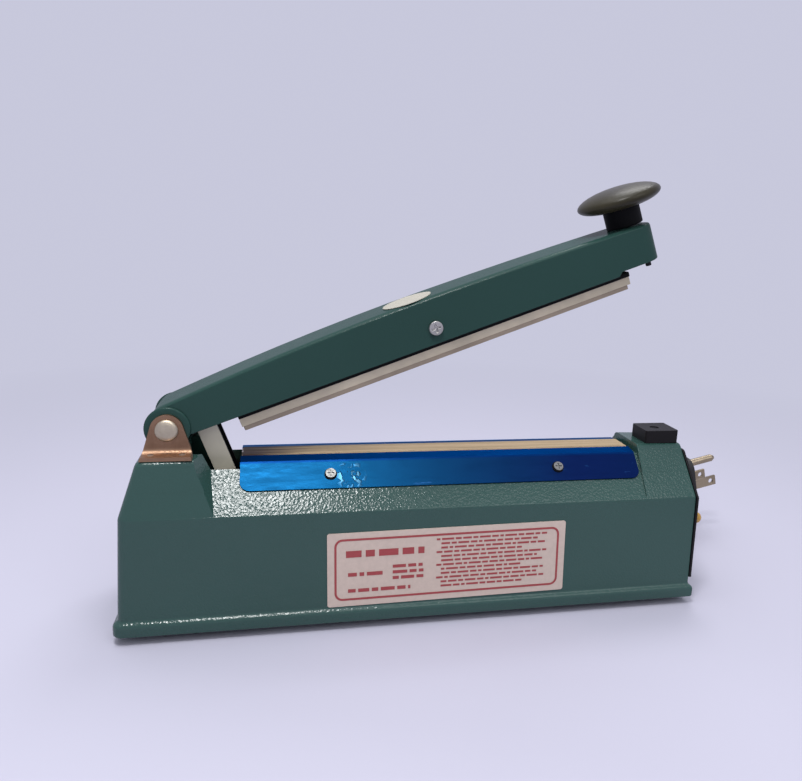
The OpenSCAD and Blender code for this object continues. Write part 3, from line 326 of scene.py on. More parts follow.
def make_finishes():
    """Makes a material for each slot of the record, and for looks that differ from their slot's"""
    colours = bpy.context.scene.sealer_colours
    cell = bpy.context.scene.sealer_sizes.hammer_cell
    enamel = tuple(colours.enamel)
    FINISHES.update({
        "green_enamel": enamel_finish("Hammered enamel", enamel, cell),
        # Painted shade: the handle and its collars wear a darker copy of the case's enamel
        "shaded_handle_enamel": enamel_finish("Shaded handle enamel", shade(enamel, 0.77), cell, 0.3, 0.35),
        "sheet_steel": metal_finish("Zinc sheet", (0.42, 0.42, 0.40), 0.38),
        "lever_paint": painted_finish("Lever paint", (0.80, 0.75, 0.61), 0.6, 0.2),
        "black_paint": painted_finish("Black paint", (0.004, 0.004, 0.005), 0.6, 0.1),
        "bright_screws": metal_finish("Bright plate", (0.47, 0.46, 0.44), 0.38, (900, 900, 900)),
        "strip_screw": metal_finish("Dull plate", (0.24, 0.24, 0.23), 0.45, (900, 900, 900)),
        "black_rubber": moulded_finish("Black rubber", (0.012, 0.012, 0.013), 0.62, 700),
        "black_panel": moulded_finish("Black panel", (0.006, 0.005, 0.006), 0.5, 1100, gloss=0.18),
        # The knob cap's warm, lighter black, set apart from the dull black neck, is a painted sheen
        "black_knobs": moulded_finish("Black knob with painted sheen", (0.024, 0.021, 0.011), 0.36, 1500, 0.00005, 0.22),
        "label_film": paper_finish("Label film", tuple(colours.label)),
        "sticker_paper": paper_finish("Sticker paper", (0.44, 0.42, 0.355)),
        "nickel_bracket": metal_finish("Warm nickel", (0.30, 0.185, 0.118), 0.42, (1300, 1300, 120),
                                       (0.20, 0.115, 0.07)),
        "nickel_axle": metal_finish("Polished nickel", (0.57, 0.50, 0.38), 0.42, (700, 700, 700)),
        "beige_bar": moulded_finish("Beige coat", (0.56, 0.49, 0.375), 0.5, 500, gloss=0.25),
        "silicone": moulded_finish("Silicone strip", (0.31, 0.25, 0.19), 0.6, 600),
        "phenolic": moulded_finish("Brown laminate", (0.10, 0.055, 0.03), 0.5, 500),
        "ribbon": metal_finish("Heating ribbon", (0.5, 0.47, 0.43), 0.35),
        "coated_cloth": cloth_finish("Coated cloth", tuple(colours.cloth)),
        "blue_film": film_finish("Blue film", tuple(colours.film)),
        "brass": metal_finish("Brass", (0.36, 0.295, 0.205), 0.34, (60, 1200, 1200)),
        "board": moulded_finish("Circuit board", (0.012, 0.09, 0.035), 0.4, 400),
        "amber_lens": lens_finish("Amber lens", (0.55, 0.30, 0.03)),
        "core_iron": metal_finish("Core laminations", (0.12, 0.12, 0.12), 0.5, (1600, 40, 40)),
        "coil_copper": wound_finish("Coil winding", (0.36, 0.13, 0.04)),
        "red_wire": moulded_finish("Red wire", (0.32, 0.015, 0.012), 0.45),
        "red_print": paper_finish("Red print", (0.36, 0.055, 0.06)),
        "white_print": paper_finish("White print", (0.62, 0.62, 0.60)),
    })


def linked(name, data):
    """A new object in the scene"""
    obj = bpy.data.objects.new(name, data)
    bpy.context.scene.collection.objects.link(obj)
    return obj


def piece(name, bm, body, slot, nodes=(), sharp=35.0, flat=False, look=None):
    """Turns a bmesh into a finished piece that rides on a body and stands for CAD nodes"""
    mesh = bpy.data.meshes.new(name)
    bmesh.ops.recalc_face_normals(bm, faces=bm.faces)
    bm.to_mesh(mesh)
    bm.free()
    if not flat:
        mesh.shade_smooth()
        mesh.set_sharp_from_angle(angle=math.radians(sharp))
    mesh.materials.append(FINISHES[look or slot])
    return settle(linked(name, mesh), body, nodes)


def settle(obj, body, nodes):
    """Puts a piece on a body and the CAD nodes it stands for"""
    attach(obj, body)
    if nodes:
        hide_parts(*nodes)
    return obj


def even_shading(obj):
    """Keeps wide flat faces flat beside their rounded edges"""
    modifier = obj.modifiers.new("Even shading", "WEIGHTED_NORMAL")
    modifier.keep_sharp = True
    modifier.weight = 100
    return obj


def soften(node, name, width, segments=2, limit=40.0, look=None):
    """Copies a CAD node, merges it and rounds its edges"""
    bm = bmesh.new()
    bm.from_mesh(frame["nodes"][node].data)
    bmesh.ops.remove_doubles(bm, verts=bm.verts, dist=2e-6)
    bmesh.ops.dissolve_limit(bm, angle_limit=math.radians(0.2), verts=bm.verts, edges=bm.edges)
    obj = piece(name, bm, BODY_OF[node], SLOT_OF[node], [node], sharp=limit, look=look)
    if width:
        bevel = obj.modifiers.new("Rounded edges", "BEVEL")
        bevel.width = width
        bevel.segments = segments
        bevel.limit_method = "ANGLE"
        bevel.angle_limit = math.radians(limit)
        bevel.use_clamp_overlap = True
    return even_shading(obj)


def round_off(bm, geom, radius, segments, affect="EDGES"):
    """Rounds edges or corners"""
    bmesh.ops.bevel(bm, geom=geom, offset=radius, offset_type="OFFSET", segments=segments, profile=0.5,
                    affect=affect, material=-1)


def loft(bm, levels, radii, segments=6):
    """Raises a round-cornered outline through levels, each of four corners in turn"""
    corners = [bm.verts.new(corner) for corner in levels[0]]
    bm.faces.new(corners)
    for corner, radius in zip(corners, radii):
        round_off(bm, [corner], radius, segments, "VERTICES")
    a, b, _, d = (Vector(corner) for corner in levels[0])
    face = list(bm.faces)[-1]
    share = {}
    for vert in face.verts:
        step = vert.co - a
        share[vert] = (step.dot(b - a) / (b - a).length_squared, step.dot(d - a) / (d - a).length_squared)
    ring = list(face.edges)
    for level in levels[1:]:
        a, b, c, d = (Vector(corner) for corner in level)
        made = bmesh.ops.extrude_edge_only(bm, edges=ring)["geom"]
        fresh = [item for item in made if isinstance(item, bmesh.types.BMVert)]
        ring = [item for item in made if isinstance(item, bmesh.types.BMEdge)
                and item.verts[0] in fresh and item.verts[1] in fresh]
        new_share = {}
        for vert in fresh:
            source = next(edge.other_vert(vert) for edge in vert.link_edges if edge.other_vert(vert) in share)
            s, t = new_share[vert] = share[source]
            vert.co = (1 - t) * ((1 - s) * a + s * b) + t * ((1 - s) * d + s * c)
        share = new_share
    bmesh.ops.contextual_create(bm, geom=ring)
    return bm


def block(bm, low, high):
    """A box between two corners"""
    size = [b - a for a, b in zip(low, high)]
    middle = [(a + b) / 2 for a, b in zip(low, high)]
    made = bmesh.ops.create_cube(bm, size=1.0)["verts"]
    bmesh.ops.scale(bm, vec=size, verts=made)
    bmesh.ops.translate(bm, vec=middle, verts=made)
    return made


def disc(bm, centre, axis, radius, depth, segments=48):
    """A short round bar from a centre along an axis"""
    made = bmesh.ops.create_cone(bm, cap_ends=True, segments=segments, radius1=radius, radius2=radius,
                                 depth=depth)["verts"]
    bmesh.ops.translate(bm, vec=(0, 0, depth / 2), verts=made)
    turn = Vector((0, 0, 1)).rotation_difference(Vector(axis)).to_matrix()
    bmesh.ops.rotate(bm, matrix=turn, verts=made)
    bmesh.ops.translate(bm, vec=centre, verts=made)
    return made


def carve(bm, cutters):
    """Takes cutter bmeshes out of a solid bmesh and returns the rest"""
    objects = []
    for index, part in enumerate([bm] + cutters):
        mesh = bpy.data.meshes.new("carving")
        bmesh.ops.recalc_face_normals(part, faces=part.faces)
        part.to_mesh(mesh)
        part.free()
        objects.append(linked(f"carving.{index}", mesh))
    for cutter in objects[1:]:
        modifier = objects[0].modifiers.new("Cut", "BOOLEAN")
        modifier.operation = "DIFFERENCE"
        modifier.solver = "EXACT"
        modifier.object = cutter
    evaluated = objects[0].evaluated_get(bpy.context.evaluated_depsgraph_get())
    rest = bmesh.new()
    rest.from_mesh(evaluated.to_mesh())
    evaluated.to_mesh_clear()
    for obj in objects:
        mesh = obj.data
        bpy.data.objects.remove(obj)
        bpy.data.meshes.remove(mesh)
    if not rest.faces:
        raise RuntimeError("nothing is left of a carved piece")
    return rest


def rounded_bend(before, corner, after, steps):
    """Points along a bend that leaves one line for another near a corner"""
    return [(1 - t) ** 2 * before + 2 * t * (1 - t) * corner + t * t * after for t in steps]


def arc_steps(radius, count):
    """Inset and rise of a rounded edge, from its side to its top"""
    turns = [math.radians(90 * i / count) for i in range(count + 1)]
    return [(radius * (1 - math.cos(turn)), radius * math.sin(turn)) for turn in turns]


# Colour of the backdrop, and how far from the sealer, in metres, the floor turns into it
BACKDROP = (0.575, 0.58, 0.715)
FLOOR_FADE = (0.25, 0.75)
# Light from all around
STUDIO_LIGHT, STUDIO_STRENGTH = (0.84, 0.86, 0.92), 0.50
# Name, place, aim, size in metres and power in watts of each lamp
LAMPS = (("Key lamp", (-0.135, -0.27, 0.75), (-0.08, 0, 0.08), 0.15, 2.6),
         ("Front lamp", (0.5, -1.0, 1.1), (0.05, 0, 0.06), 0.8, 4.2),
         ("Top lamp", (-0.25, 0.1, 1.35), (0, 0, 0.06), 0.9, 5.0),
         ("Back lamp", (0.32, 0.5, 1.08), (0.1, 0, 0.2), 0.45, 3.5))
# The camera fitted to the photograph: yaw, pitch and roll, lengths in pixels, and its place in millimetres
CAMERA_TURNS = (12.71, 12.33, -2.41)
PICTURE_WIDTH, FOCAL_LENGTH, SIDE_SHIFT = 802, 719.3, -40
SENSOR_WIDTH = 36
CAMERA_AT = (-71.0 - MID_X, -360, 193.3)


def seen_directly(tree):
    """One for what the camera sees, straight or in gloss and glass, and zero for light that falls on things"""
    path = tree.nodes.new("ShaderNodeLightPath")
    total = path.outputs["Is Camera Ray"]
    for kind in ("Is Glossy Ray", "Is Transmission Ray"):
        either = tree.nodes.new("ShaderNodeMath")
        either.operation = "MAXIMUM"
        tree.links.new(total, either.inputs[0])
        tree.links.new(path.outputs[kind], either.inputs[1])
        total = either.outputs["Value"]
    return total


def floor_finish(colour, far):
    """Pale floor that holds the shadow near the sealer and turns into the backdrop far from it"""
    finish = Finish("Pale floor", colour, 0.75)
    finish.bump(finish.noise(600, 2), 0.0001, 0.2)
    finish.set(Specular_IOR_Level=0.2)
    reach = finish.add("VectorMath", {0: finish.coords}, operation="LENGTH").outputs["Value"]
    fade = finish.math("MULTIPLY", finish.span(reach, *FLOOR_FADE), seen_directly(finish.tree))
    glow = finish.add("Emission", {"Color": (*far, 1)})
    either = finish.add("MixShader", {0: fade})
    finish.tree.links.new(finish.shader.outputs["BSDF"], either.inputs[1])
    finish.tree.links.new(glow.outputs["Emission"], either.inputs[2])
    finish.tree.links.new(either.outputs["Shader"], finish.tree.nodes["Material Output"].inputs["Surface"])
    return finish.material


class SEALER_OT_stage(bpy.types.Operator):
    """Set the camera at the photograph's angle, with a pale floor and soft lamps"""
    bl_idname = "sealer.stage"
    bl_label = "Stage"

    def execute(self, context):
        scene = context.scene
        yaw, pitch, roll = (math.radians(angle) for angle in CAMERA_TURNS)
        forward = Vector((math.sin(yaw) * math.cos(pitch), math.cos(yaw) * math.cos(pitch),
                          -math.sin(pitch)))
        right = Vector((math.cos(yaw), -math.sin(yaw), 0))
        up = right.cross(forward)
        image_right = math.cos(roll) * right - math.sin(roll) * up
        image_up = math.sin(roll) * right + math.cos(roll) * up
        data = bpy.data.cameras.new("Camera")
        data.sensor_width = SENSOR_WIDTH
        data.lens = FOCAL_LENGTH / PICTURE_WIDTH * SENSOR_WIDTH
        data.shift_x = SIDE_SHIFT / PICTURE_WIDTH
        data.clip_start = 0.01
        camera = linked("Camera", data)
        turn = Matrix((image_right, image_up, -forward)).transposed().to_4x4()
        camera.matrix_world = Matrix.Translation(Vector(CAMERA_AT) * MM) @ turn
        scene.camera = camera

        bm = bmesh.new()
        bmesh.ops.create_grid(bm, x_segments=1, y_segments=1, size=3.0)
        mesh = bpy.data.meshes.new("Floor")
        bm.to_mesh(mesh)
        bm.free()
        floor = linked("Floor", mesh)
        mesh.materials.append(floor_finish(tuple(scene.sealer_colours.floor), BACKDROP))

        for name, place, aim, size, power in LAMPS:
            lamp = bpy.data.lights.new(name, "AREA")
            lamp.size = size
            lamp.energy = power
            turn = (Vector(aim) - Vector(place)).to_track_quat("-Z", "Y").to_matrix().to_4x4()
            linked(name, lamp).matrix_world = Matrix.Translation(place) @ turn
        world = bpy.data.worlds.new("Studio")
        world.use_nodes = True
        tree = world.node_tree
        around = tree.nodes["Background"]
        around.inputs["Color"].default_value = (*STUDIO_LIGHT, 1)
        around.inputs["Strength"].default_value = STUDIO_STRENGTH
        backdrop = tree.nodes.new("ShaderNodeBackground")
        backdrop.inputs["Color"].default_value = (*BACKDROP, 1)
        either = tree.nodes.new("ShaderNodeMixShader")
        tree.links.new(seen_directly(tree), either.inputs["Fac"])
        tree.links.new(around.outputs["Background"], either.inputs[1])
        tree.links.new(backdrop.outputs["Background"], either.inputs[2])
        tree.links.new(either.outputs["Shader"], tree.nodes["World Output"].inputs["Surface"])
        scene.world = world
        scene.view_settings.view_transform = "Standard"
        return {"FINISHED"}


# The folded hank of the mains lead, as it is drawn in the sealer's source, in millimetres
LEAD_START = (-60, 59.3, 18)
LEAD_POINTS = [(-60, 66.1, 18), (-58, 73.1, 17), (-52, 81.1, 15), (-43, 87.1, 12), (-33, 89.1, 9), (-22, 87.6, 6.2),
               (-11, 83.6, 4.3), (-1, 77.6, 3.4), (8, 70.6, 3.2), (16, 63.6, 3.2), (24, 57.1, 3.2), (31, 52.1, 3.2),
               (37, 49.1, 3.2)]
TAIL_POINTS = [(131.4, 59.5, 25.3)]
PLUG_AT, PLUG_TILT, PLUG_LEN = Vector((197, 59.1, 39.6)), math.radians(13), 53
# One loop has this many steps: a straight side of 7, a fold of 5, and both again
RINGS, SIDE_STEPS, FOLD_STEPS = 24, 7, 5
HANK_END, HANK_TURN = 3 + 4 / 24, 15.5 / 24
HANK_X0, HANK_X1, HANK_Y = 47, 172, 72.1
HANK_INNER, HANK_SWING, HANK_WAIST, HANK_LIFT = 19.5, 7.2, 13, 1.6
LAYER_GAP, FLOOR_GAP = 0.6, 0.1


def hank_point(s, lead):
    """Centre of the lead after s loops of the hank"""
    k = (s - math.floor(s)) * RINGS
    off = s - HANK_TURN
    r = HANK_INNER + HANK_SWING * abs(off - 2 * round(off / 2))
    climb = 0.0
    for turn in range(3):
        t = max(0.0, min(1.0, (off - turn) * RINGS / SIDE_STEPS + 0.5))
        climb += t * t * (3 - 2 * t)
    z = lead / 2 + FLOOR_GAP + (lead + LAYER_GAP) * climb
    back = SIDE_STEPS + FOLD_STEPS
    outward = k < back
    straight = k if outward else k - back
    if straight < SIDE_STEPS:
        q = straight / SIDE_STEPS
        waist = (1 - math.cos(2 * math.pi * q)) / 2
        x = HANK_X0 + (HANK_X1 - HANK_X0) * (q if outward else 1 - q)
        side = -1 if outward else 1
        return Vector((x, HANK_Y + side * (r - HANK_WAIST * waist), z + HANK_LIFT * waist))
    turn = math.radians((-90 if outward else 90) + 180 / FOLD_STEPS * (straight - SIDE_STEPS))
    x = (HANK_X1 if outward else HANK_X0) + r * math.cos(turn)
    return Vector((x, HANK_Y + r * math.sin(turn), z))


def smooth_route(points, steps=6):
    """Points on a smooth line through given points"""
    points = [Vector(point) for point in points]
    route = []
    for i in range(len(points) - 1):
        p0, p1, p2 = points[max(i - 1, 0)], points[i], points[i + 1]
        p3 = points[min(i + 2, len(points) - 1)]
        for j in range(steps):
            t = j / steps
            route.append(0.5 * (2 * p1 + (p2 - p0) * t + (2 * p0 - 5 * p1 + 4 * p2 - p3) * t * t
                                + (3 * p1 - p0 - 3 * p2 + p3) * t ** 3))
    return route + [points[-1]]


class SEALER_OT_mains_lead(bpy.types.Operator):
    """Lay the mains lead with its hank, tie and plug"""
    bl_idname = "sealer.mains_lead"
    bl_label = "Mains lead"

    def execute(self, context):
        lead = context.scene.sealer_sizes.lead / MM
        start, finish = hank_point(0, lead), hank_point(HANK_END, lead)
        leave = (finish - hank_point(HANK_END - 0.02, lead)).normalized()
        ahead = Vector((math.cos(PLUG_TILT), 0, math.sin(PLUG_TILT)))
        plug_tail = PLUG_AT - PLUG_LEN * ahead
        route = smooth_route([LEAD_START] + LEAD_POINTS + [start - Vector((lead, 0, 0)), start])
        count = round(HANK_END * 72)
        route += [hank_point(HANK_END * i / count, lead) for i in range(1, count + 1)]
        route += smooth_route([finish, finish + leave * lead] + TAIL_POINTS
                              + [plug_tail - lead * ahead, plug_tail])[1:]
        route = [ON_CASE @ point for point in route]
        curve = bpy.data.curves.new("mains_lead", "CURVE")
        curve.dimensions = "3D"
        curve.bevel_depth = lead / 2 * MM
        curve.bevel_resolution = 4
        curve.use_fill_caps = True
        spline = curve.splines.new("POLY")
        spline.points.add(len(route) - 1)
        for point, place in zip(spline.points, route):
            point.co = (*place, 1)
        spline.use_smooth = True
        curve.materials.append(FINISHES["black_rubber"])
        obj = linked("mains_lead", curve)
        settle(obj, "base", ["lead_stretch", "lead_hank", "lead_tail"])
        plug = [soften("plug_body", "plug", 0.0015, 4, 30), soften("plug_prongs", "prongs", 0.0003)]
        tie = soften("cord_tie", "tie", 0.0003)
        soften("cord_boot", "boot", 0.0006, 3)
        return {"FINISHED"}


# The case in the drawing's millimetres: its skirt's ends, and height and inset of the skirt's levels
SKIRT_HINGE, SKIRT_KNOB, SKIRT_HALF = -148.75, 147.5, 37.5
SKIRT_LEVELS = ((4, 1.2), (4.4, 0.4), (5.2, 0), (8.8, 0), (9.6, 0.12), (10.2, 0.4), (10.6, 0.8), (10.9, 1.2),
                (11.2, 1.55), (11.6, 1.85), (12.1, 2.0))
# Foot, crease and top of the wall at the hinge and at the knob, with the bend's reach and the top edge's reach
CASE_ENDS = (((-146.75, WALL_HALF, 12.1), (-144.75, CREASE_HALF, CREASE_Z), (-136.75, 27.4, 86), 0.8, 2.5),
             ((145.5, WALL_HALF, 12.1), (145.5, CREASE_HALF, CREASE_Z), (145.5, 11.3, 84.5), 1.2, 2.0))
# What is cut away over the facets, as y and z, from the switch shoulder to the hinge tower
FACET_OUTLINE = ((80, 14), (13.9, 80.1), (-0.01, 80.1), (-0.01, 130), (80, 130))
SHOULDER_X, SHOULDER_RUN = 116.6, 12
TOWER_X, TOWER_LEAN, TOWER_TWIST = -102.5, 0.477, 0.338
# Slot in the tower, groove of the sealing bar, room for the lever, hollow inside, well of the switch
HOLLOWS = (((-117, -16.1, 60), (-91, 16.1, 100)), ((-91.3, -6.0, 60), (116.2, 6.0, 82)),
           ((-120, -20, 40), (-58, 20, 73)), ((-141, -31, 0), (141, 31, 56)),
           ((125.8, -9.3, 55), (140.4, 1.3, 100)))


class SEALER_OT_case(bpy.types.Operator):
    """Model the cast case with its skirt, facets, hinge tower and switch shoulder"""
    bl_idname = "sealer.case"
    bl_label = "Case"

    def execute(self, context):
        sizes = context.scene.sealer_sizes
        levels = []

        def level(hinge, knob):
            (x0, y0, z0), (x1, y1, z1) = hinge, knob
            levels.append([(x0, -y0, z0), (x1, -y1, z1), (x1, y1, z1), (x0, y0, z0)])

        for z, inset in SKIRT_LEVELS:
            half = SKIRT_HALF - inset
            level((SKIRT_HINGE + inset, half, z), (SKIRT_KNOB - inset, half, z))
        # At each end the wall bends softly inwards at its crease and is rounded at its top
        ends = []
        for *corners, soft, edge in CASE_ENDS:
            foot, crease, top = (Vector(corner) for corner in corners)
            below = crease + (foot - crease).normalized() * soft
            above = crease + (top - crease).normalized() * soft
            line = [foot.lerp(below, 0.5)]
            line += rounded_bend(below, crease, above, (0, 0.2, 0.4, 0.6, 0.8, 1))
            line.append(above.lerp(top, 0.45))
            shoulder = top + (crease - top).normalized() * edge
            inner = top + Vector((edge if top.x < 0 else -edge, -edge, 0))
            line += rounded_bend(shoulder, top, inner, (0, 0.25, 0.5, 0.75, 1))
            ends.append(line)
        for hinge, knob in zip(*ends):
            level(hinge, knob)
        hinge_r, knob_r = sizes.hinge_corner / MM, sizes.knob_corner / MM
        solid = loft(bmesh.new(), levels, (hinge_r, knob_r, knob_r, hinge_r))

        cutters = []
        for side in (-1, 1):
            cutter = bmesh.new()
            verts = [cutter.verts.new((SHOULDER_X + (z - CREASE_Z) / SHOULDER_RUN, side * y, z))
                     for y, z in FACET_OUTLINE]
            face = cutter.faces.new(verts)
            made = bmesh.ops.extrude_face_region(cutter, geom=[face])["geom"]
            for vert in made:
                if isinstance(vert, bmesh.types.BMVert):
                    y, z = abs(vert.co.y), vert.co.z
                    vert.co.x = TOWER_X - TOWER_LEAN * (z - CREASE_Z) + TOWER_TWIST * (CREASE_HALF - y)
            cutters.append(cutter)
        for low, high in HOLLOWS:
            cutter = bmesh.new()
            block(cutter, low, high)
            cutters.append(cutter)
        shell = carve(solid, cutters)
        bmesh.ops.remove_doubles(shell, verts=shell.verts, dist=0.005)
        bmesh.ops.transform(shell, matrix=ON_CASE, verts=shell.verts)
        even_shading(piece("case", shell, "base", "green_enamel", ["housing"], sharp=32))
        return {"FINISHED"}


# The level handle in millimetres from its axle: length, highest place, radius of its end, half width
HANDLE_LEN, CROWN_AT, ROUND_END, HANDLE_HALF = 260.5, 139.9, 9.6, 16
# Height of the crown, the top's fall towards hinge and knob, and the lower edge, which steps up near the end
CROWN_TOP, HINGE_FALL, KNOB_FALL = 16.9, 5.9, 2.3
HANDLE_LOW, END_LOW, END_STEP = -6.5, -4.5, 24
HANDLE_PLACES = (HANDLE_LEN - END_STEP - 2, 215, 190, 165, 140, 120, 100, 80, 60, 40, 20, 8)
# The round end at the hinge: its middle, radius and the turns of its levels in degrees
HINGE_U, HINGE_W, HINGE_R = 1.5, 1.8, 9
HINGE_TURNS = (92, 105, 120, 135, 148, 160, 170, 178)
CHANNEL_START, CHANNEL_END, CHANNEL_HALF, CHANNEL_HEIGHTS = 7, HANDLE_LEN - 2, 14, (-30, 9)
COLLAR_AT, COLLAR_R, COLLAR_THICK = 15.5, 10.5, 1.7


class SEALER_OT_handle(bpy.types.Operator):
    """Model the arched handle with its collars"""
    bl_idname = "sealer.handle"
    bl_label = "Handle"

    def execute(self, context):
        def top(u):
            if u < CROWN_AT:
                return CROWN_TOP - HINGE_FALL * ((CROWN_AT - u) / (CROWN_AT - 4)) ** 2
            return CROWN_TOP - KNOB_FALL * ((u - CROWN_AT) / (HANDLE_LEN - CROWN_AT)) ** 2

        levels = []

        def level(u, low, high, half=HANDLE_HALF):
            levels.append([(u, -half, low), (u, half, low), (u, half, high), (u, -half, high)])

        for inset, rise in reversed(arc_steps(ROUND_END, 9)):
            u = HANDLE_LEN - ROUND_END + rise
            level(u, END_LOW, top(u) - inset * 0.08, HANDLE_HALF - inset)
        level(HANDLE_LEN - END_STEP, END_LOW, top(HANDLE_LEN - END_STEP))
        for u in HANDLE_PLACES:
            level(u, HANDLE_LOW, top(u))
        for turn in HINGE_TURNS:
            u = HINGE_U + HINGE_R * math.cos(math.radians(turn))
            rise = HINGE_R * math.sin(math.radians(turn))
            level(u, max(HANDLE_LOW, HINGE_W - rise), HINGE_W + rise)
        edge = context.scene.sealer_sizes.handle_edge / MM
        solid = loft(bmesh.new(), levels, (0.4, 0.4, edge, edge), 5)
        outline = ((CHANNEL_START, -CHANNEL_HALF), (CHANNEL_END, -CHANNEL_HALF), (CHANNEL_END, CHANNEL_HALF),
                   (CHANNEL_START, CHANNEL_HALF))
        channel = loft(bmesh.new(), [[(u, v, w) for u, v in outline] for w in CHANNEL_HEIGHTS],
                       (0.5, 7.6, 7.6, 0.5))
        shell = carve(solid, [channel])
        bmesh.ops.transform(shell, matrix=ON_HANDLE, verts=shell.verts)
        even_shading(piece("handle", shell, "handle", "green_enamel", ["handle_shell"], sharp=32,
                           look="shaded_handle_enamel"))
        collars = bmesh.new()
        for side in (-1, 1):
            disc(collars, (0, side * COLLAR_AT, 0), (0, side, 0), COLLAR_R, COLLAR_THICK, 64)
        rims = [edge for edge in collars.edges if edge.calc_face_angle(0) > 1]
        round_off(collars, rims, 1.0, 4)
        bmesh.ops.transform(collars, matrix=ON_HANDLE, verts=collars.verts)
        piece("collars", collars, "handle", "green_enamel", sharp=60, look="shaded_handle_enamel")
        return {"FINISHED"}


# CAD node, its piece, width of its rounded edges in metres, and their segments if not two
FITTINGS = (("hinge_bracket_front", "front_bracket", 0.0004), ("hinge_bracket_rear", "rear_bracket", 0.0004),
            ("hinge_axle", "axle", 0.0003), ("pressure_bar", "pressing_bar", 0.0005),
            ("silicone_strip", "pressing_strip", 0.0004), ("handle_screw", "side_screw", 0.0003),
            ("handle_sticker", "sticker", 0), ("release_cloth", "cloth", 0.0003),
            ("front_clamp_strip", "front_strip", 0.0002), ("guide_block", "switch_block", 0.0014, 4),
            ("end_panel", "panel", 0.0005), ("panel_screws", "panel_fixings", 0.0003),
            ("timer_dial", "dial", 0.0003), ("lamp_bezel", "bezel", 0.0003), ("lamp_lens", "lens", 0),
            ("rubber_feet", "feet", 0.0005), ("label_plate", "label", 0), ("switch_pin", "pin", 0.0003))


class SEALER_OT_fittings(bpy.types.Operator):
    """Round the edges of the smaller visible fittings"""
    bl_idname = "sealer.fittings"
    bl_label = "Fittings"

    def execute(self, context):
        for fitting in FITTINGS:
            soften(*fitting)
        soften("clamp_screws", "strip_screws", 0.0002, look="strip_screw")
        soften("switch_plunger", "plunger", 0.0003, look="black_paint")
        # The rear strip's lip is pressed a little lower, so less of it shows over the cloth
        strip = soften("rear_clamp_strip", "rear_strip", 0.0002)
        for vert in strip.data.vertices:
            if vert.co.z > REAR_LIP_Z:
                vert.co.z -= REAR_LIP_DROP
        lever = soften("lever_arm", "lever", 0.0005, look="lever_paint")
        # Painted shade: the lever's hollow and the side that faces the jaw are painted black where they lie in shade
        lever.data.materials.append(FINISHES["black_paint"])
        ahead = (ON_HANDLE.to_3x3() @ Vector((1, 0, 0))).normalized()
        level = ON_HANDLE.inverted()
        for face in lever.data.polygons:
            along, across, _ = level @ face.center
            hollow_in_shade = along > LEVER_BACK and abs(across) < LEVER_INNER
            face.material_index = int(hollow_in_shade or face.normal.dot(ahead) > 0.7)
        # The knob's neck stays dull black; its cap is a glossier black, warmer and lighter than the neck, a painted
        # sheen
        knob = soften("hand_knob", "knob", 0.0004)
        knob.data.materials.append(FINISHES["black_paint"])
        for face in knob.data.polygons:
            face.material_index = int((level @ face.center).z < NECK_TOP)
        return {"FINISHED"}


def flat_ring(bm, low, high, corner, line, place, rise):
    """A round-cornered flat frame of one line width, laid on a plane and raised by its thickness"""
    (x0, y0), (x1, y1) = low, high
    verts = [bm.verts.new((x, y, 0)) for x, y in ((x0, y0), (x1, y0), (x1, y1), (x0, y1))]
    bm.faces.new(verts)
    for vert in verts:
        round_off(bm, [vert], corner, 6, "VERTICES")
    face = max(bm.faces, key=lambda item: item.calc_area())
    bm.normal_update()
    bmesh.ops.inset_region(bm, faces=[face], thickness=line, use_boundary=True, use_even_offset=True)
    face = max((item for item in bm.faces if len(item.verts) > 4), key=lambda item: item.calc_area())
    bmesh.ops.delete(bm, geom=[face], context="FACES_ONLY")
    raise_flat(bm, place, rise)


def raise_flat(bm, place, rise):
    """Gives flat faces a thickness and puts them in place"""
    made = bmesh.ops.extrude_face_region(bm, geom=list(bm.faces))["geom"]
    fresh = [item for item in made if isinstance(item, bmesh.types.BMVert)]
    bmesh.ops.translate(bm, vec=(0, 0, rise), verts=fresh)
    bmesh.ops.transform(bm, matrix=place, verts=bm.verts)


# Lengths of the bars that stand for words, in millimetres, taken in turn
WORDS = (4.4, 2.6, 5.6, 3.4, 1.8, 6.2, 3.0)
# Gap under the print, and its thickness, in millimetres; the print is a little askew
PRINT_GAP = 0.06
LABEL_TURN = math.radians(0.6)
FRAME_HALF, FRAME_CORNER, FRAME_LINE = (57.6, 15.9), 4.0, 1.05
# Start, end, middle height and thickness of each row: a heading, lines, short lines and fine ones
LABEL_ROWS = [(-52, -13, 8, 3.4), (-51, -34, -2.6, 1.9), (-51, -20, -11, 1.8)]
LABEL_ROWS += [(-29, -13.5, y, 1.6) for y in (0.4, -2.6, -5.6)]
LABEL_ROWS += [(-7 if k % 3 == 0 else -4.6, (51, 46, 50, 39)[k % 4], 13.0 - 2.25 * k, 1.0) for k in range(12)]


def word_bars(left, end, thick, count):
    """Bars as long as words, with gaps between, from one end of a row to the other"""
    gap = 0.5 * thick + 0.35
    step = 0
    while left < end - 1:
        right = min(end, left + WORDS[(count * 3 + step) % len(WORDS)] * (0.7 + 0.3 * thick))
        yield left, right
        left = right + gap
        step += 1


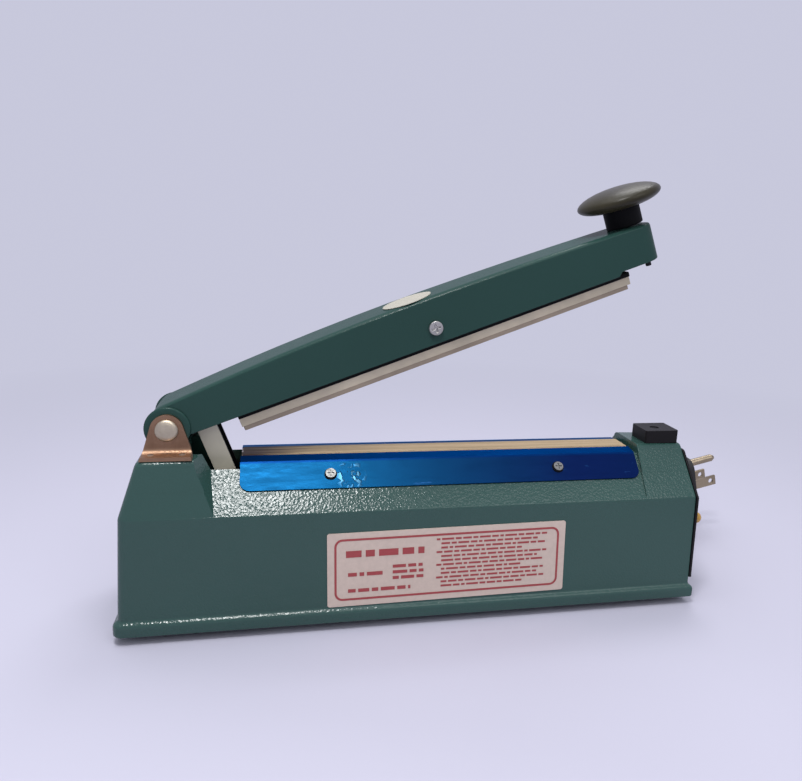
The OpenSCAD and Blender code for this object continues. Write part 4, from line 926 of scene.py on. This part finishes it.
class SEALER_OT_label_print(bpy.types.Operator):
    """Print a plain ruled form on the label: a red round-cornered frame and rows of bars"""
    bl_idname = "sealer.label_print"
    bl_label = "Label print"

    def execute(self, context):
        low, high = (Vector(corner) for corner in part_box("label_plate"))
        middle = (low + high) / 2
        lean = math.atan2(WALL_DRAFT, CREASE_Z - FLARE_Z)
        wall_y = WALL_HALF - (middle.z / MM - FLARE_Z) * math.tan(lean)
        face_y = -(wall_y + LABEL_THICK + PRINT_GAP) * MM
        place = (Matrix.Translation((middle.x, face_y, middle.z)) @ Matrix.Rotation(-lean, 4, "X")
                 @ Matrix.Rotation(math.radians(90), 4, "X") @ Matrix.Rotation(LABEL_TURN, 4, "Z")
                 @ Matrix.Scale(MM, 4))
        frame_line = bmesh.new()
        flat_ring(frame_line, [-half for half in FRAME_HALF], FRAME_HALF, FRAME_CORNER, FRAME_LINE, place,
                  PRINT_GAP)
        piece("label_frame", frame_line, "base", "label_film", flat=True, look="red_print")
        bars = bmesh.new()
        for count, (x0, x1, y, thick) in enumerate(LABEL_ROWS):
            for left, right in word_bars(x0, x1, thick, count):
                bars.faces.new([bars.verts.new((x, y + side * thick / 2, 0))
                                for x, side in ((left, -1), (right, -1), (right, 1), (left, 1))])
        raise_flat(bars, place, PRINT_GAP)
        piece("label_rows", bars, "base", "label_film", flat=True, look="red_print")
        return {"FINISHED"}


# A black strip of painted shade between handle and pressing bar, from the axle, and the seats of the strip's screws,
# in millimetres
SHADE_STRIP_BOX = (30.7, -9.8, -9.15), (242.6, 9.8, -6.6)
SEAT_OUT, SEAT_R, SEAT_THICK = 0.83, 3.1, 0.25


class SEALER_OT_trims(bpy.types.Operator):
    """Add a black strip of painted shade above the pressing bar, and the dark seats of the strip's screws"""
    bl_idname = "sealer.trims"
    bl_label = "Trims"

    def execute(self, context):
        shade_strip = bmesh.new()
        block(shade_strip, *SHADE_STRIP_BOX)
        round_off(shade_strip, list(shade_strip.edges), 0.3, 2)
        bmesh.ops.transform(shade_strip, matrix=ON_HANDLE, verts=shade_strip.verts)
        piece("shade_strip", shade_strip, "handle", "black_panel", sharp=60, look="black_paint")
        seats = bmesh.new()
        for x, y, z in STRIP_SCREWS:
            for side in (1, -1):
                out = Vector((0, -side, 1)).normalized()
                disc(seats, Vector((x, side * y, z)) + SEAT_OUT * out, out, SEAT_R, SEAT_THICK)
        bmesh.ops.transform(seats, matrix=ON_CASE, verts=seats.verts)
        piece("screw_seats", seats, "base", "black_rubber", sharp=40, look="black_paint")
        return {"FINISHED"}


# The timer's scale around the dial: turns in degrees, and in millimetres its ticks, numbers and thickness
SCALE_STEPS, SCALE_START, SCALE_STEP = 9, -135, 33.75
TICK = (-0.35, 14.2, 0), (0.35, 16.6, 0.08)
NUMBER_SIZE, NUMBER_R, NUMBER_HALF = 4.2, 19.3, 0.04
SCALE_LIFT = 0.02


class SEALER_OT_dial_marks(bpy.types.Operator):
    """Print the timer's scale on the end panel: ticks and numbers around the dial"""
    bl_idname = "sealer.dial_marks"
    bl_label = "Dial marks"

    def execute(self, context):
        upright = Matrix(((0, 0, 1), (1, 0, 0), (0, 1, 0))).to_4x4()
        place = ON_CASE @ Matrix.Translation((PANEL_X + SCALE_LIFT, DIAL_Y, DIAL_Z)) @ upright
        marks = bmesh.new()
        for step in range(SCALE_STEPS):
            turn = math.radians(SCALE_START + SCALE_STEP * step)
            tick = block(marks, *TICK)
            bmesh.ops.rotate(marks, matrix=Matrix.Rotation(-turn, 3, "Z"), verts=tick)
            curve = bpy.data.curves.new("number", "FONT")
            curve.body = str(step)
            curve.size = NUMBER_SIZE
            curve.align_x = "CENTER"
            curve.align_y = "CENTER"
            curve.extrude = NUMBER_HALF
            letter = linked("number", curve)
            mesh = bpy.data.meshes.new_from_object(letter.evaluated_get(context.evaluated_depsgraph_get()))
            spot = (NUMBER_R * math.sin(turn), NUMBER_R * math.cos(turn), NUMBER_HALF)
            mesh.transform(Matrix.Translation(spot))
            marks.from_mesh(mesh)
            bpy.data.objects.remove(letter)
            bpy.data.curves.remove(curve)
            bpy.data.meshes.remove(mesh)
        bmesh.ops.transform(marks, matrix=place, verts=marks.verts)
        piece("dial_marks", marks, "base", "black_panel", flat=True, look="white_print")
        return {"FINISHED"}


class SEALER_OT_inner_parts(bpy.types.Operator):
    """Give every CAD node that still shows its finish"""
    bl_idname = "sealer.inner_parts"
    bl_label = "Inner parts"

    def execute(self, context):
        for node, obj in frame["nodes"].items():
            obj.data.materials.clear()
            obj.data.materials.append(FINISHES[SLOT_OF[node]])
        return {"FINISHED"}


class SEALER_PT_panel(bpy.types.Panel):
    """Sidebar panel with every step"""
    bl_idname = "SEALER_PT_panel"
    bl_label = "Bag Heat Sealer"
    bl_space_type = "VIEW_3D"
    bl_region_type = "UI"
    bl_category = "Sealer"

    def draw(self, context):
        for group in (context.scene.sealer_sizes, context.scene.sealer_colours):
            for key in group.__annotations__:
                self.layout.prop(group, key)
        for step in STEPS:
            self.layout.operator(step.bl_idname)


STEPS = (SEALER_OT_stage, SEALER_OT_mains_lead, SEALER_OT_case, SEALER_OT_handle, SEALER_OT_fittings,
         SEALER_OT_label_print, SEALER_OT_trims, SEALER_OT_dial_marks, SEALER_OT_inner_parts)
CLASSES = (SealerSizes, SealerColours) + STEPS + (SEALER_PT_panel,)


def register():
    for cls in CLASSES:
        bpy.utils.register_class(cls)
    bpy.types.Scene.sealer_sizes = PointerProperty(type=SealerSizes)
    bpy.types.Scene.sealer_colours = PointerProperty(type=SealerColours)


def unregister():
    del bpy.types.Scene.sealer_colours
    del bpy.types.Scene.sealer_sizes
    for cls in reversed(CLASSES):
        bpy.utils.unregister_class(cls)


def main():
    register()
    make_finishes()
    bpy.ops.sealer.stage()
    bpy.ops.sealer.mains_lead()
    bpy.ops.sealer.case()
    bpy.ops.sealer.handle()
    bpy.ops.sealer.fittings()
    bpy.ops.sealer.label_print()
    bpy.ops.sealer.trims()
    bpy.ops.sealer.dial_marks()
    bpy.ops.sealer.inner_parts()


if __name__ == "__main__":
    main()
